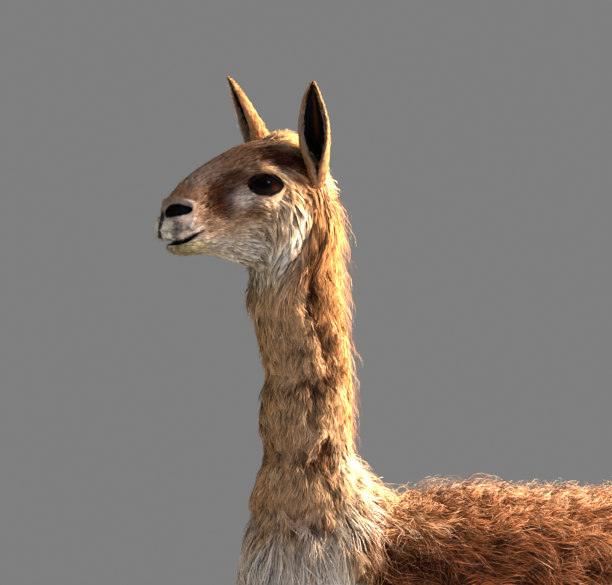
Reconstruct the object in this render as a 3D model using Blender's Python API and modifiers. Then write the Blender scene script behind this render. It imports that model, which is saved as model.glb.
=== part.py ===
"""A vicuna, life size, standing square with its neck upright and its ears pricked.

Metres, +Z up. The animal faces -X and its left side is towards -Y. Each limb and the trunk is a
tube whose sections are set out in side view by a front or upper point and a back or lower point.
Section sizes are those of the outside of the coat; a core lies inside it under the locks.
"""

import math

import bmesh
import bpy
import numpy as np
from mathutils import Matrix, Vector

# Clearances and counts
GAP = 0.0003
SEED = 11
BOX_REACH = 3.0

# Overall sizes
EYE_CENTRE = (-0.0925, 0.0410, 1.2480)
EYE_HALF_SIZE = (0.0280, 0.0175, 0.0120)
EYE_TURN_FORWARD = math.radians(12)
EYE_TILT_UP = math.radians(4)
LID_BAR = 0.0026
LID_HALF_LONG = 0.0250
LID_RISE = 0.0142
LID_DROP = 0.0128
EAR_ROOT = (-0.0190, 0.0440, 1.2560)
EAR_HALF_WIDTH = 0.0192
EAR_CUP_DEPTH = 0.025
EAR_THICKNESS = 0.0034
# Each ear's tip, and how far its cup is turned out from straight ahead, in degrees
LEFT_EAR = ((-0.0280, 0.0700, 1.3830), 57)
RIGHT_EAR = ((-0.0835, 0.0720, 1.3915), 14)
TOE_SPREAD = 0.0145
SOLE_CUT = 0.012
CORE_SHARE = 0.5
SHARP_ANGLE = math.radians(40)

# Locks: where the sections lie along one, how wide and deep they are, and how it rises from its root
LOCK_SHARES = np.array((0.0, 1 / 3, 2 / 3, 1.0))
LOCK_WIDTHS = np.array((0.75, 1.0, 0.68))
LOCK_DEPTHS = np.array((0.8, 1.0, 0.62))
LOCK_CORNERS = np.array(((1.0, -0.35), (0.0, 1.0), (-1.0, -0.35)))
LOCK_STEPS = 9
LOCK_SHOULDER = 0.36
LOCK_SHOULDER_DROP = 0.45
LOCK_SWAY = 0.07
TAIL_COAT = 0.008
# Length, half width and thickness of the locks of each part of the coat
NECK_LOCK = (0.085, 0.0245, 0.0070)
SHOULDER_LOCK = (0.120, 0.0430, 0.0110)
BODY_LOCK = (0.165, 0.0560, 0.0130)
TAIL_LOCK = (0.085, 0.0260, 0.0080)
# Tiers of hair on the bib: first and last station, then the size of a lock
BIB_TIERS = (
    (19.85, 20.6, (0.100, 0.0230, 0.0090)),
    (21.0, 21.8, (0.120, 0.0250, 0.0100)),
    (22.2, 23.0, (0.120, 0.0250, 0.0100)),
)
SHOULDER_ARC = (-1.95, 1.95)
BIB_ARC = (math.pi - 1.15, math.pi + 1.15)

# Stations and heights where the body is parted, and where the feet stand
HEAD_END = 12.0
NECK_END = 19.6
RUMP_END = 31.0
BIB_END = 25.5
BIB_PLANE_X = -0.020
TAIL_PLANE_TOP = (0.715, 0.83)
TAIL_PLANE_LOW = (0.763, 0.60)
TAIL_SLOT_HALF = 0.036
FORELEG_CUT_Z = 0.530
KNEE_CUT_Z = 0.262
THIGH_CUT_Z = 0.590
HOCK_CUT_Z = 0.318
FORE_FOOT_CUT_Z = 0.066
HIND_FOOT_CUT_Z = 0.066
SHANK_FLOOR_Z = 0.052
FORE_FOOT_X = 0.094
HIND_FOOT_X = 0.676
FORE_SIDE = 0.088
HIND_SIDE = 0.086

# Each trunk station: upper x, z; lower x, z; half width; level of the widest part; squareness
TRUNK = np.array((
    (-0.2250, 1.1930, -0.2260, 1.1850, 0.0060, 0.50, 2.2),
    (-0.2190, 1.2090, -0.2235, 1.1730, 0.0155, 0.50, 2.3),
    (-0.2125, 1.2250, -0.2175, 1.1645, 0.0218, 0.50, 2.4),
    (-0.2020, 1.2390, -0.2040, 1.1580, 0.0255, 0.48, 2.4),
    (-0.1860, 1.2560, -0.1850, 1.1550, 0.0272, 0.46, 2.3),
    (-0.1635, 1.2715, -0.1600, 1.1580, 0.0290, 0.48, 2.2),
    (-0.1380, 1.2855, -0.1330, 1.1535, 0.0335, 0.55, 2.2),
    (-0.1120, 1.2975, -0.1080, 1.1470, 0.0420, 0.60, 2.2),
    (-0.0860, 1.3065, -0.0800, 1.1405, 0.0480, 0.60, 2.2),
    (-0.0520, 1.3110, -0.0705, 1.1325, 0.0500, 0.58, 2.2),
    (-0.0180, 1.3050, -0.0690, 1.1235, 0.0505, 0.55, 2.1),
    (0.0140, 1.2800, -0.0690, 1.1140, 0.0505, 0.52, 2.1),
    (0.0335, 1.2400, -0.0695, 1.1040, 0.0510, 0.50, 2.1),
    (0.0395, 1.2000, -0.0715, 1.0920, 0.0515, 0.50, 2.0),
    (0.0465, 1.1400, -0.0745, 1.0750, 0.0520, 0.50, 2.0),
    (0.0540, 1.0750, -0.0680, 1.0450, 0.0515, 0.50, 2.0),
    (0.0580, 1.0200, -0.0610, 1.0080, 0.0505, 0.50, 2.0),
    (0.0610, 0.9750, -0.0650, 0.9660, 0.0535, 0.50, 2.0),
    (0.0610, 0.9300, -0.0640, 0.9250, 0.0530, 0.50, 2.0),
    (0.0665, 0.8850, -0.0640, 0.8800, 0.0565, 0.50, 2.0),
    (0.0980, 0.8520, -0.0755, 0.8400, 0.0680, 0.50, 2.0),
    (0.1450, 0.8315, -0.0860, 0.7850, 0.0860, 0.50, 2.0),
    (0.1950, 0.8345, -0.0920, 0.7150, 0.1080, 0.50, 2.0),
    (0.2350, 0.8450, -0.0780, 0.6250, 0.1300, 0.50, 2.0),
    (0.2750, 0.8495, -0.0200, 0.5450, 0.1500, 0.52, 2.1),
    (0.3350, 0.8470, 0.0900, 0.5050, 0.1630, 0.54, 2.1),
    (0.4200, 0.8405, 0.2400, 0.4920, 0.1720, 0.54, 2.2),
    (0.5100, 0.8385, 0.4000, 0.5050, 0.1720, 0.54, 2.2),
    (0.5950, 0.8450, 0.5300, 0.5450, 0.1600, 0.55, 2.2),
    (0.6650, 0.8380, 0.6300, 0.6100, 0.1370, 0.55, 2.2),
    (0.7150, 0.8120, 0.7000, 0.6700, 0.1000, 0.55, 2.1),
    (0.7420, 0.7600, 0.7400, 0.7300, 0.0300, 0.50, 2.0),
))

# Depth of the coat at a few trunk stations: station, depth
COAT_DEPTH = np.array((
    (0.0, 0.0015), (8.0, 0.0030), (12.0, 0.0080), (15.0, 0.0150),
    (20.0, 0.0200), (24.0, 0.0340), (28.0, 0.0340), (31.0, 0.0240),
))

# Each leg station: front x, z; back x, z; half width; level of the widest part; squareness; side
FORELEG = np.array((
    (0.0350, 0.6500, 0.1700, 0.6700, 0.0420, 0.5, 2.0, 0.0950),
    (0.0600, 0.5600, 0.1620, 0.5700, 0.0390, 0.5, 2.0, 0.0970),
    (0.0750, 0.4900, 0.1490, 0.4920, 0.0300, 0.5, 2.1, 0.0950),
    (0.0830, 0.4100, 0.1350, 0.4100, 0.0235, 0.5, 2.1, 0.0920),
    (0.0830, 0.3450, 0.1280, 0.3450, 0.0215, 0.5, 2.2, 0.0900),
    (0.0780, 0.3020, 0.1290, 0.3020, 0.0238, 0.5, 2.4, 0.0890),
    (0.0850, 0.2550, 0.1270, 0.2550, 0.0185, 0.5, 2.2, 0.0885),
    (0.0880, 0.1850, 0.1230, 0.1850, 0.0158, 0.5, 2.1, 0.0880),
    (0.0870, 0.1150, 0.1260, 0.1150, 0.0180, 0.5, 2.1, 0.0880),
    (0.0790, 0.0840, 0.1280, 0.0840, 0.0225, 0.5, 2.2, 0.0880),
    (0.0640, 0.0500, 0.1230, 0.0500, 0.0235, 0.5, 2.3, 0.0880),
))
HINDLEG = np.array((
    (0.5000, 0.7200, 0.7050, 0.7400, 0.0560, 0.5, 2.0, 0.0850),
    (0.4780, 0.6300, 0.7250, 0.6600, 0.0600, 0.5, 2.0, 0.0920),
    (0.4880, 0.5550, 0.7020, 0.5800, 0.0500, 0.5, 2.1, 0.0950),
    (0.5380, 0.4850, 0.6980, 0.5100, 0.0375, 0.5, 2.1, 0.0930),
    (0.6100, 0.4130, 0.7120, 0.4300, 0.0265, 0.5, 2.1, 0.0900),
    (0.6620, 0.3480, 0.7390, 0.3600, 0.0240, 0.5, 2.3, 0.0880),
    (0.6720, 0.2950, 0.7270, 0.2950, 0.0200, 0.5, 2.2, 0.0870),
    (0.6740, 0.2000, 0.7140, 0.2000, 0.0165, 0.5, 2.1, 0.0860),
    (0.6700, 0.1200, 0.7110, 0.1200, 0.0180, 0.5, 2.1, 0.0860),
    (0.6600, 0.0850, 0.7110, 0.0850, 0.0225, 0.5, 2.2, 0.0860),
    (0.6460, 0.0500, 0.7050, 0.0500, 0.0235, 0.5, 2.3, 0.0860),
))
# Each toe station, from the fetlock: x; height of the top; half width
TOE = np.array((
    (0.0340, 0.0200, 0.0070), (0.0280, 0.0380, 0.0115), (0.0080, 0.0620, 0.0140),
    (-0.0160, 0.0590, 0.0150), (-0.0380, 0.0400, 0.0145), (-0.0560, 0.0270, 0.0120),
    (-0.0640, 0.0180, 0.0085),
))
# Each nail station, from the fetlock: x; top; underside; half width
NAIL = np.array((
    (-0.0480, 0.0300, 0.0150, 0.0070), (-0.0600, 0.0270, 0.0080, 0.0085),
    (-0.0720, 0.0180, 0.0030, 0.0055), (-0.0800, 0.0090, 0.0024, 0.0020),
))
# Each tail station: upper x, z; lower x, z; half width; level; squareness
TAIL = np.array((
    (0.7000, 0.8200, 0.7000, 0.7800, 0.0200, 0.5, 2.0),
    (0.7480, 0.8100, 0.7180, 0.7700, 0.0240, 0.5, 2.0),
    (0.7850, 0.7500, 0.7450, 0.7350, 0.0250, 0.5, 2.0),
    (0.8000, 0.6850, 0.7580, 0.6800, 0.0270, 0.5, 2.0),
    (0.8010, 0.6250, 0.7620, 0.6250, 0.0240, 0.5, 2.0),
    (0.7950, 0.5850, 0.7680, 0.5850, 0.0150, 0.5, 2.0),
))

# Soft swellings and hollows of the head: centre x, side, z; radius; push forward, outward, up
HEAD_FORMS = (
    ((-0.100, 0.040, 1.274), 0.020, (0.0000, 0.0045, 0.0030)),
    ((-0.095, 0.044, 1.222), 0.018, (0.0000, 0.0040, -0.0010)),
    ((-0.050, 0.046, 1.190), 0.030, (0.0000, 0.0050, 0.0000)),
    ((-0.145, 0.032, 1.232), 0.026, (0.0000, -0.0045, 0.0000)),
    ((-0.212, 0.018, 1.224), 0.011, (-0.0010, 0.0040, 0.0005)),
    ((-0.205, 0.022, 1.190), 0.014, (-0.0020, 0.0035, 0.0000)),
    ((-0.170, 0.026, 1.200), 0.012, (0.0000, -0.0020, 0.0000)),
)

# Side-view outlines of what is cut for the mouth and for the cleft of the upper lip
MOUTH = (
    (-0.2450, 1.1755), (-0.2180, 1.1765), (-0.2020, 1.1768), (-0.1860, 1.1825),
    (-0.1690, 1.1930), (-0.1840, 1.1790), (-0.2010, 1.1685), (-0.2090, 1.1670),
    (-0.2125, 1.1600), (-0.2095, 1.1500), (-0.2450, 1.1400),
)
MOUTH_HALF_WIDTH = 0.06
CLEFT = ((-0.2450, 1.2100), (-0.2140, 1.2080), (-0.2185, 1.1800), (-0.2450, 1.1790))
CLEFT_HALF_WIDTH = 0.0009
# The nostril as a curved horn: x, side and z of the middle; half height; half depth
NOSTRIL = np.array((
    (-0.2205, 0.0085, 1.2085, 0.0025, 0.0025), (-0.2185, 0.0120, 1.2110, 0.0070, 0.0055),
    (-0.2130, 0.0185, 1.2135, 0.0072, 0.0062), (-0.2050, 0.0245, 1.2150, 0.0054, 0.0060),
    (-0.1965, 0.0285, 1.2165, 0.0036, 0.0052), (-0.1890, 0.0300, 1.2175, 0.0016, 0.0030),
))

COLOURS = {
    "tawny": (0.52, 0.28, 0.13),
    "face": (0.46, 0.30, 0.19),
    "fleece": (0.40, 0.20, 0.09),
    "cream": (0.78, 0.68, 0.55),
    "buff": (0.62, 0.44, 0.28),
    "eye": (0.015, 0.012, 0.012),
    "nail": (0.06, 0.05, 0.045),
}


def clear_scene():
    for thing in list(bpy.data.objects):
        bpy.data.objects.remove(thing)


def new_collection(name):
    group = bpy.data.collections.new(name)
    bpy.context.scene.collection.children.link(group)
    return group


def new_material(name, colour, roughness):
    finish = bpy.data.materials.new(name)
    finish.use_nodes = True
    shader = finish.node_tree.nodes["Principled BSDF"]
    shader.inputs["Base Color"].default_value = (*colour, 1.0)
    shader.inputs["Roughness"].default_value = roughness
    return finish


def add_object(name, points, faces, group):
    """A closed mesh object with its faces turned outwards."""
    mesh = bpy.data.meshes.new(name)
    mesh.from_pydata([tuple(map(float, p)) for p in points], [], faces)
    body = bmesh.new()
    body.from_mesh(mesh)
    bmesh.ops.recalc_face_normals(body, faces=body.faces)
    body.to_mesh(mesh)
    body.free()
    thing = bpy.data.objects.new(name, mesh)
    group.objects.link(thing)
    return thing


def through(rows, places):
    """A Catmull-Rom curve through the rows, read at these fractional row numbers."""
    rows = np.asarray(rows, float)
    places = np.clip(np.asarray(places, float), 0, len(rows) - 1)
    first = np.minimum(places.astype(int), len(rows) - 2)
    share = (places - first)[:, None]
    padded = np.vstack((2 * rows[0] - rows[1], rows, 2 * rows[-1] - rows[-2]))
    a, b, c, d = (padded[first + shift] for shift in range(4))
    return 0.5 * (
        2 * b + (c - a) * share + (2 * a - 5 * b + 4 * c - d) * share**2
        + (3 * b - a - 3 * c + d) * share**3
    )


def rings(rows, places, angles, inset=0.0):
    """Sections of a tube: two half superellipses each, angle 0 at the upper or front point."""
    row = through(rows, places)
    upper, lower = row[:, 0:2], row[:, 2:4]
    span = upper - lower
    height = np.linalg.norm(span, axis=1)
    rise_way = span / height[:, None]
    level = row[:, 5]
    side = row[:, 7] if row.shape[1] > 7 else np.zeros(len(row))
    inset = np.broadcast_to(inset, height.shape)
    rise = np.maximum((1 - level) * height - inset, 0.0004)
    drop = np.maximum(level * height - inset, 0.0004)
    half = np.maximum(row[:, 4] - inset, 0.0004)
    power = (2 / row[:, 6])[:, None]
    cosine, sine = np.cos(angles)[None, :], np.sin(angles)[None, :]
    along = np.sign(cosine) * np.abs(cosine) ** power
    along = along * np.where(cosine > 0, rise[:, None], drop[:, None])
    across = np.sign(sine) * np.abs(sine) ** power * half[:, None]
    middle = lower + span * level[:, None]
    x = middle[:, None, 0] + rise_way[:, None, 0] * along
    z = middle[:, None, 1] + rise_way[:, None, 1] * along
    return np.stack((x, side[:, None] + across, z), axis=2)


def around(count):
    return np.arange(count) * (2 * math.pi / count)


def skin_rings(grid, name, group):
    """A closed tube over a grid of rings, with a fan of triangles over each end."""
    count, sides = grid.shape[:2]
    points = np.vstack((grid.reshape(-1, 3), grid[0].mean(axis=0), grid[-1].mean(axis=0)))
    faces = []
    for ring in range(count - 1):
        for side in range(sides):
            after = (side + 1) % sides
            low, high = ring * sides, (ring + 1) * sides
            faces.append((low + side, low + after, high + after, high + side))
    last = (count - 1) * sides
    for side in range(sides):
        after = (side + 1) % sides
        faces.append((after, side, count * sides))
        faces.append((last + side, last + after, count * sides + 1))
    return add_object(name, points, faces, group)


def largest_body(thing):
    """Keeps the largest closed surface of a mesh, which fills sealed hollows and drops scraps."""
    body = bmesh.new()
    body.from_mesh(thing.data)
    bmesh.ops.triangulate(body, faces=body.faces)
    waiting = set(body.verts)
    groups = []
    while waiting:
        reached = {waiting.pop()}
        edge = list(reached)
        while edge:
            near = {e.other_vert(v) for v in edge for e in v.link_edges} & waiting
            waiting -= near
            reached |= near
            edge = list(near)
        groups.append(reached)
    kept = max(groups, key=len)
    bmesh.ops.delete(body, geom=[v for v in body.verts if v not in kept], context="VERTS")
    body.to_mesh(thing.data)
    body.free()


def apply_boolean(thing, operation, other):
    """Joins, cuts or trims a mesh by one object or by a collection, and removes what it used."""
    tool = thing.modifiers.new("work", "BOOLEAN")
    tool.operation = operation
    tool.solver = "MANIFOLD"
    if isinstance(other, bpy.types.Collection):
        tool.operand_type = "COLLECTION"
        tool.collection = other
    else:
        tool.object = other
    bpy.context.view_layer.update()
    graph = bpy.context.evaluated_depsgraph_get()
    mesh = bpy.data.meshes.new_from_object(thing.evaluated_get(graph))
    thing.modifiers.clear()
    thing.data = mesh
    used = list(other.objects) if isinstance(other, bpy.types.Collection) else [other]
    for piece in used:
        bpy.data.objects.remove(piece)
    if isinstance(other, bpy.types.Collection):
        bpy.data.collections.remove(other)


def duplicate(thing, name, group):
    copy = bpy.data.objects.new(name, thing.data.copy())
    group.objects.link(copy)
    return copy


def half_space(point, away, group):
    """A great box whose near face passes through the point, filling the side it is away to."""
    bpy.ops.mesh.primitive_cube_add(size=1)
    box = bpy.context.object
    for holder in list(box.users_collection):
        holder.objects.unlink(box)
    group.objects.link(box)
    away = Vector(away).normalized()
    turn = away.to_track_quat("Z", "Y").to_matrix().to_4x4()
    place = Matrix.Translation(Vector(point) + away * (BOX_REACH / 2))
    box.data.transform(place @ turn @ Matrix.Scale(BOX_REACH, 4))
    return box


def keep_side(thing, point, away, group):
    apply_boolean(thing, "INTERSECT", half_space(point, away, group))


def lock(middles, normals, half_width, thickness, curl):
    """A flat tapered lock along a bent line: three-sided sections that close in a point."""
    corners = LOCK_CORNERS
    rows = []
    for step, (wide, deep) in enumerate(zip(LOCK_WIDTHS * half_width, LOCK_DEPTHS * thickness)):
        lie = unit(middles[step + 1] - middles[step])
        across = unit(np.cross(normals[step], lie))
        middle = middles[step] + across * (curl * LOCK_SHARES[step] ** 2)
        rows += [middle + across * (c[0] * wide) + normals[step] * (c[1] * deep) for c in corners]
    points = rows + [middles[-1] + across * curl]
    count = len(corners)
    faces = [tuple(range(count))]
    for level in range(len(LOCK_WIDTHS) - 1):
        low = level * count
        for side in range(count):
            after = (side + 1) % count
            faces.append((low + side, low + after, low + count + after, low + count + side))
    low = (len(LOCK_WIDTHS) - 1) * count
    faces += [(low + side, low + (side + 1) % count, len(rows)) for side in range(count)]
    return points, faces


def unit(vector):
    return vector / np.linalg.norm(vector)


def surface_frame(rows, place, angle, inset):
    """A point on a tube, its outward direction, and the direction that runs along the tube."""
    step = 0.02
    places = np.clip(np.array((place - step, place, place + step)), 0, len(rows) - 1)
    angles = np.array((angle - step, angle, angle + step))
    grid = rings(rows, places, angles, inset)
    along = unit(grid[2, 1] - grid[0, 1])
    turn = grid[1, 2] - grid[1, 0]
    normal = unit(np.cross(turn, along))
    middle = rings(rows, places, around(8), inset)[1].mean(axis=0)
    if np.dot(normal, grid[1, 1] - middle) < 0:
        normal = -normal
    return grid[1, 1], normal, along


def coat_depth(places):
    """How deep the coat of the trunk is at these stations."""
    return np.interp(places, COAT_DEPTH[:, 0], COAT_DEPTH[:, 1])


def step_on(rows, place, angle, way):
    """The place on a tube reached from another by a short move in space along its surface."""
    step = 0.03
    grid = rings(rows, np.array((place, place + step)), np.array((angle, angle + step)))
    moves = np.stack((grid[1, 0] - grid[0, 0], grid[0, 1] - grid[0, 0]), axis=1) / step
    run, turn = np.linalg.lstsq(moves, way, rcond=None)[0]
    return place + run, angle + turn


def add_locks(group, spots, rows, size, hang, rng, tip_lift=0.5):
    """Grows a lock at each spot. Hang mixes the way along the tube with straight down."""
    length, half_width, thickness = size
    last = len(rows) - 1.04
    for place, angle in spots:
        depth = float(coat_depth(place)) if rows is TRUNK else TAIL_COAT
        lift = tip_lift + rng.uniform(-0.15, 0.15)
        rise = (-1.0, lift - LOCK_SHOULDER_DROP, lift)
        grow = length * rng.uniform(0.88, 1.12) / LOCK_STEPS
        stray = rng.normal(0, LOCK_SWAY, 3)
        middles, normals = [], []
        for step in range(LOCK_STEPS + 1):
            share = step / LOCK_STEPS
            height = float(np.interp(share, (0.0, LOCK_SHOULDER, 1.0), rise)) * depth
            spot, normal, along = surface_frame(rows, min(place, last), angle, -height)
            if min(abs(LOCK_SHARES - share)) < 0.5 / LOCK_STEPS:
                middles.append(spot)
                normals.append(normal)
            way = along * (1 - hang) + np.array((0.0, 0.0, -hang)) + stray
            way = unit(way - normal * np.dot(way, normal)) * grow
            place, angle = step_on(rows, min(place, last), angle, way)
        points, faces = lock(
            middles, normals, half_width * rng.uniform(0.9, 1.1),
            thickness * rng.uniform(0.85, 1.1), half_width * rng.uniform(-0.4, 0.4),
        )
        add_object("lock", points, faces, group)


def brick_spots(first, last, step, across, rng, arc=(0.0, 2 * math.pi)):
    """Rows of spots along a tube, every other row moved by half a spot, each a little off."""
    spots = []
    row = 0
    place = first
    while place <= last:
        wide = (arc[1] - arc[0]) / across
        for number in range(across):
            angle = arc[0] + wide * (number + 0.5 * (row % 2) + rng.uniform(-0.15, 0.15))
            spots.append((place + step * rng.uniform(-0.15, 0.15), angle))
        place += step
        row += 1
    return spots


def push_forms(points, forms):
    """Adds the soft swellings and hollows of the head to points, alike on both sides."""
    points = points.copy()
    for centre, radius, push in forms:
        for side in (-1.0, 1.0):
            middle = np.array((centre[0], centre[1] * side, centre[2]))
            far = ((points - middle) ** 2).sum(axis=-1) / radius**2
            points += np.exp(-far)[..., None] * np.array((push[0], push[1] * side, push[2]))
    return points


def eye_matrix(side):
    """Turns a ball set at the origin into the eye of one side: along the head, out, up."""
    turn = Matrix.Rotation(side * EYE_TURN_FORWARD, 4, "Z")
    tilt = Matrix.Rotation(side * EYE_TILT_UP, 4, "X")
    middle = Vector((EYE_CENTRE[0], EYE_CENTRE[1] * side, EYE_CENTRE[2]))
    return Matrix.Translation(middle) @ turn @ tilt


def eye_ball(name, side, grow, group, segments=14):
    body = bmesh.new()
    bmesh.ops.create_uvsphere(body, u_segments=segments, v_segments=segments // 2, radius=1)
    mesh = bpy.data.meshes.new(name)
    body.to_mesh(mesh)
    body.free()
    long, high, deep = (size + grow for size in EYE_HALF_SIZE)
    mesh.transform(Matrix.Diagonal((long, deep, high, 1)))
    mesh.transform(eye_matrix(side))
    thing = bpy.data.objects.new(name, mesh)
    group.objects.link(thing)
    return thing


def lid_ring(side, group):
    """Both lids of one eye as a bar that runs round the almond of the opening."""
    count, sides = 16, 4
    ring = []
    place = np.array(eye_matrix(side))
    long, high, deep = EYE_HALF_SIZE
    for number in range(count):
        turn = 2 * math.pi * number / count
        x = LID_HALF_LONG * math.cos(turn)
        z = (LID_RISE if math.sin(turn) > 0 else LID_DROP) * math.sin(turn)
        out = deep * math.sqrt(max(1 - (x / long) ** 2 - (z / high) ** 2, 0.02))
        bar = LID_BAR * (1.25 if math.sin(turn) > 0 else 0.9)
        middle = np.array((x, side * out, z))
        radial = unit(np.array((math.cos(turn), 0.0, math.sin(turn))))
        outward = np.array((0.0, side, 0.0))
        for corner in range(sides):
            bend = 2 * math.pi * corner / sides
            spot = middle + bar * (radial * math.cos(bend) + outward * math.sin(bend))
            ring.append(place[:3, :3] @ spot + place[:3, 3])
    faces = []
    for number in range(count):
        for corner in range(sides):
            a, b = number * sides, ((number + 1) % count) * sides
            nxt = (corner + 1) % sides
            faces.append((a + corner, a + nxt, b + nxt, b + corner))
    return add_object("lid", ring, faces, group)


def prism(outline, half_width, group):
    """A side-view outline carried across the head, as far to one side as to the other."""
    count = len(outline)
    points = [(x, y, z) for y in (-half_width, half_width) for x, z in outline]
    faces = [tuple(range(count)), tuple(range(2 * count - 1, count - 1, -1))]
    for side in range(count):
        after = (side + 1) % count
        faces.append((side, after, count + after, count + side))
    return add_object("cutter", points, faces, group)


def nostril(side, group):
    """A horn that narrows backwards and lies along the skin, so that it cuts a comma there."""
    middles = NOSTRIL[:, :3] * (1, side, 1)
    ways = np.gradient(middles, axis=0)
    upward = np.array((0.0, 0.0, 1.0))
    across = np.cross(ways, upward)
    across /= np.linalg.norm(across, axis=1)[:, None]
    turns = around(10)
    high = NOSTRIL[:, None, 3, None] * np.sin(turns)[None, :, None] * upward
    deep = NOSTRIL[:, None, 4, None] * np.cos(turns)[None, :, None] * across[:, None, :]
    return skin_rings(middles[:, None, :] + high + deep, "cutter", group)


def make_head(parts, helpers):
    """Muzzle, brows, cheeks and poll in one tube, with lids, nostrils and an open mouth."""
    places = np.concatenate((np.arange(0, 4, 0.6), np.arange(4, HEAD_END, 0.55), [HEAD_END]))
    grid = rings(TRUNK, places, around(22))
    grid[:-1] = push_forms(grid[:-1], HEAD_FORMS)
    head = skin_rings(grid, "head", parts)
    lids = new_collection("lids")
    for side in (-1, 1):
        lid_ring(side, lids)
    apply_boolean(head, "UNION", lids)
    for side in (-1, 1):
        apply_boolean(head, "DIFFERENCE", eye_ball("socket", side, GAP, helpers))
        apply_boolean(head, "DIFFERENCE", nostril(side, helpers))
    apply_boolean(head, "DIFFERENCE", prism(MOUTH, MOUTH_HALF_WIDTH, helpers))
    apply_boolean(head, "DIFFERENCE", prism(CLEFT, CLEFT_HALF_WIDTH, helpers))
    largest_body(head)
    return head


def ear_sheet(side, tip, face_out, name, parts):
    """A lance-shaped leaf, rolled into a cup that narrows to its root, with Solidify walls."""
    root = np.array((EAR_ROOT[0], EAR_ROOT[1] * side, EAR_ROOT[2]))
    tip = np.array((tip[0], tip[1] * side, tip[2]))
    length = np.linalg.norm(tip - root)
    axis = unit(tip - root)
    facing = np.array((-math.cos(face_out), math.sin(face_out) * side, 0.0))
    facing = unit(facing - axis * np.dot(facing, axis))
    across = np.cross(axis, facing)
    lengths = np.linspace(0, 1, 9)
    turns = np.linspace(-1, 1, 8)
    points = []
    for share in lengths:
        swell = math.sin(math.pi * min(1.0, 0.27 + 0.73 * share) ** 1.1)
        wide = EAR_HALF_WIDTH * max(swell, 0.0) ** 0.8 + 0.0012
        deep = EAR_CUP_DEPTH * (1 - share) ** 0.7 + 0.001
        roll = math.radians(138 - 60 * share)
        hook = -0.010 * share**3 * side
        for turn in turns:
            bend = turn * roll
            spot = root + axis * (length * share)
            spot = spot + across * (wide * math.sin(bend)) - facing * (deep * math.cos(bend))
            points.append(spot + np.array((0.0, hook, 0.0)))
    faces = []
    width = len(turns)
    for row in range(len(lengths) - 1):
        for column in range(width - 1):
            a = row * width + column
            faces.append((a, a + 1, a + width + 1, a + width))
    mesh = bpy.data.meshes.new(name)
    mesh.from_pydata([tuple(map(float, p)) for p in points], [], faces)
    ear = bpy.data.objects.new(name, mesh)
    parts.objects.link(ear)
    wall = ear.modifiers.new("wall", "SOLIDIFY")
    wall.thickness = EAR_THICKNESS
    wall.offset = 0.0
    bpy.context.view_layer.update()
    graph = bpy.context.evaluated_depsgraph_get()
    ear.data = bpy.data.meshes.new_from_object(ear.evaluated_get(graph))
    ear.modifiers.clear()
    body = bmesh.new()
    body.from_mesh(ear.data)
    bmesh.ops.recalc_face_normals(body, faces=body.faces)
    body.to_mesh(ear.data)
    body.free()
    return ear


def swollen_copy(thing, grow, group):
    """A copy whose faces stand proud by the gap, to cut a neighbour clear of it."""
    copy = duplicate(thing, "cutter", group)
    body = bmesh.new()
    body.from_mesh(copy.data)
    body.normal_update()
    shifts = [v.normal * grow for v in body.verts]
    for vertex, shift in zip(body.verts, shifts):
        vertex.co += shift
    body.to_mesh(copy.data)
    body.free()
    return copy


def trunk_core(first, last, count, name, parts):
    """A length of the trunk that lies inside the coat by the share that a core may take."""
    places = np.linspace(first, last, count)
    inset = coat_depth(places) * CORE_SHARE
    return skin_rings(rings(TRUNK, places, around(16), inset), name, parts)


def make_neck(parts, rng):
    """The neck's core with its coat in tiers of downward locks."""
    neck = trunk_core(HEAD_END, NECK_END, 10, "neck", parts)
    tiers = new_collection("neck locks")
    spots = brick_spots(HEAD_END + 0.15, NECK_END - 0.5, 1.15, 7, rng)
    add_locks(tiers, spots, TRUNK, NECK_LOCK, 0.25, rng, tip_lift=0.10)
    apply_boolean(neck, "UNION", tiers)
    return neck


def plane_at(place):
    """The plane of a trunk section: a point on it and the direction towards the rump."""
    row, after = through(TRUNK, [place, place + 0.01])
    upper, lower = row[0:2], row[2:4]
    span = unit(upper - lower)
    way = np.array((-span[1], 0.0, span[0]))
    travel = (after[0:2] + after[2:4] - upper - lower) / 2
    if way[0] * travel[0] + way[2] * travel[1] < 0:
        way = -way
    middle = (upper + lower) / 2
    return Vector((middle[0], 0.0, middle[1])), Vector(way)


def leg_tube(rows, side, grow, group, count=16, sides=10):
    stations = rows.copy()
    stations[:, 7] *= side
    places = np.linspace(0, len(rows) - 1, count)
    return skin_rings(rings(stations, places, around(sides), -grow), "leg", group)


def make_torso(parts, helpers, rng):
    """Barrel, shoulders and haunches, under a shaggy fleece of overlapping locks."""
    torso = trunk_core(NECK_END, RUMP_END, 16, "torso", parts)
    masses = new_collection("masses")
    for rows, cut in ((FORELEG, FORELEG_CUT_Z), (HINDLEG, THIGH_CUT_Z)):
        for side in (-1, 1):
            mass = leg_tube(rows, side, 0.0, masses)
            keep_side(mass, (0, 0, cut + GAP), (0, 0, 1), helpers)
    apply_boolean(torso, "UNION", masses)
    fleece = new_collection("fleece")
    spots = brick_spots(NECK_END + 0.5, 23.5, 1.15, 6, rng, arc=SHOULDER_ARC)
    add_locks(fleece, spots, TRUNK, SHOULDER_LOCK, 0.30, rng, tip_lift=-0.05)
    spots = brick_spots(24.2, RUMP_END - 1.2, 0.95, 9, rng)
    add_locks(fleece, spots, TRUNK, BODY_LOCK, 0.28, rng, tip_lift=-0.05)
    apply_boolean(torso, "UNION", fleece)
    return torso


def make_bib(parts, rng):
    """The front of the chest, with long pale hair that hangs over it."""
    bib = trunk_core(NECK_END, BIB_END, 8, "chest_bib", parts)
    hair = new_collection("bib hair")
    for first, last, size in BIB_TIERS:
        spots = brick_spots(first, last, 0.75, 4, rng, arc=BIB_ARC)
        add_locks(hair, spots, TRUNK, size, 0.80, rng, tip_lift=0.7)
    apply_boolean(bib, "UNION", hair)
    return bib


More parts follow.
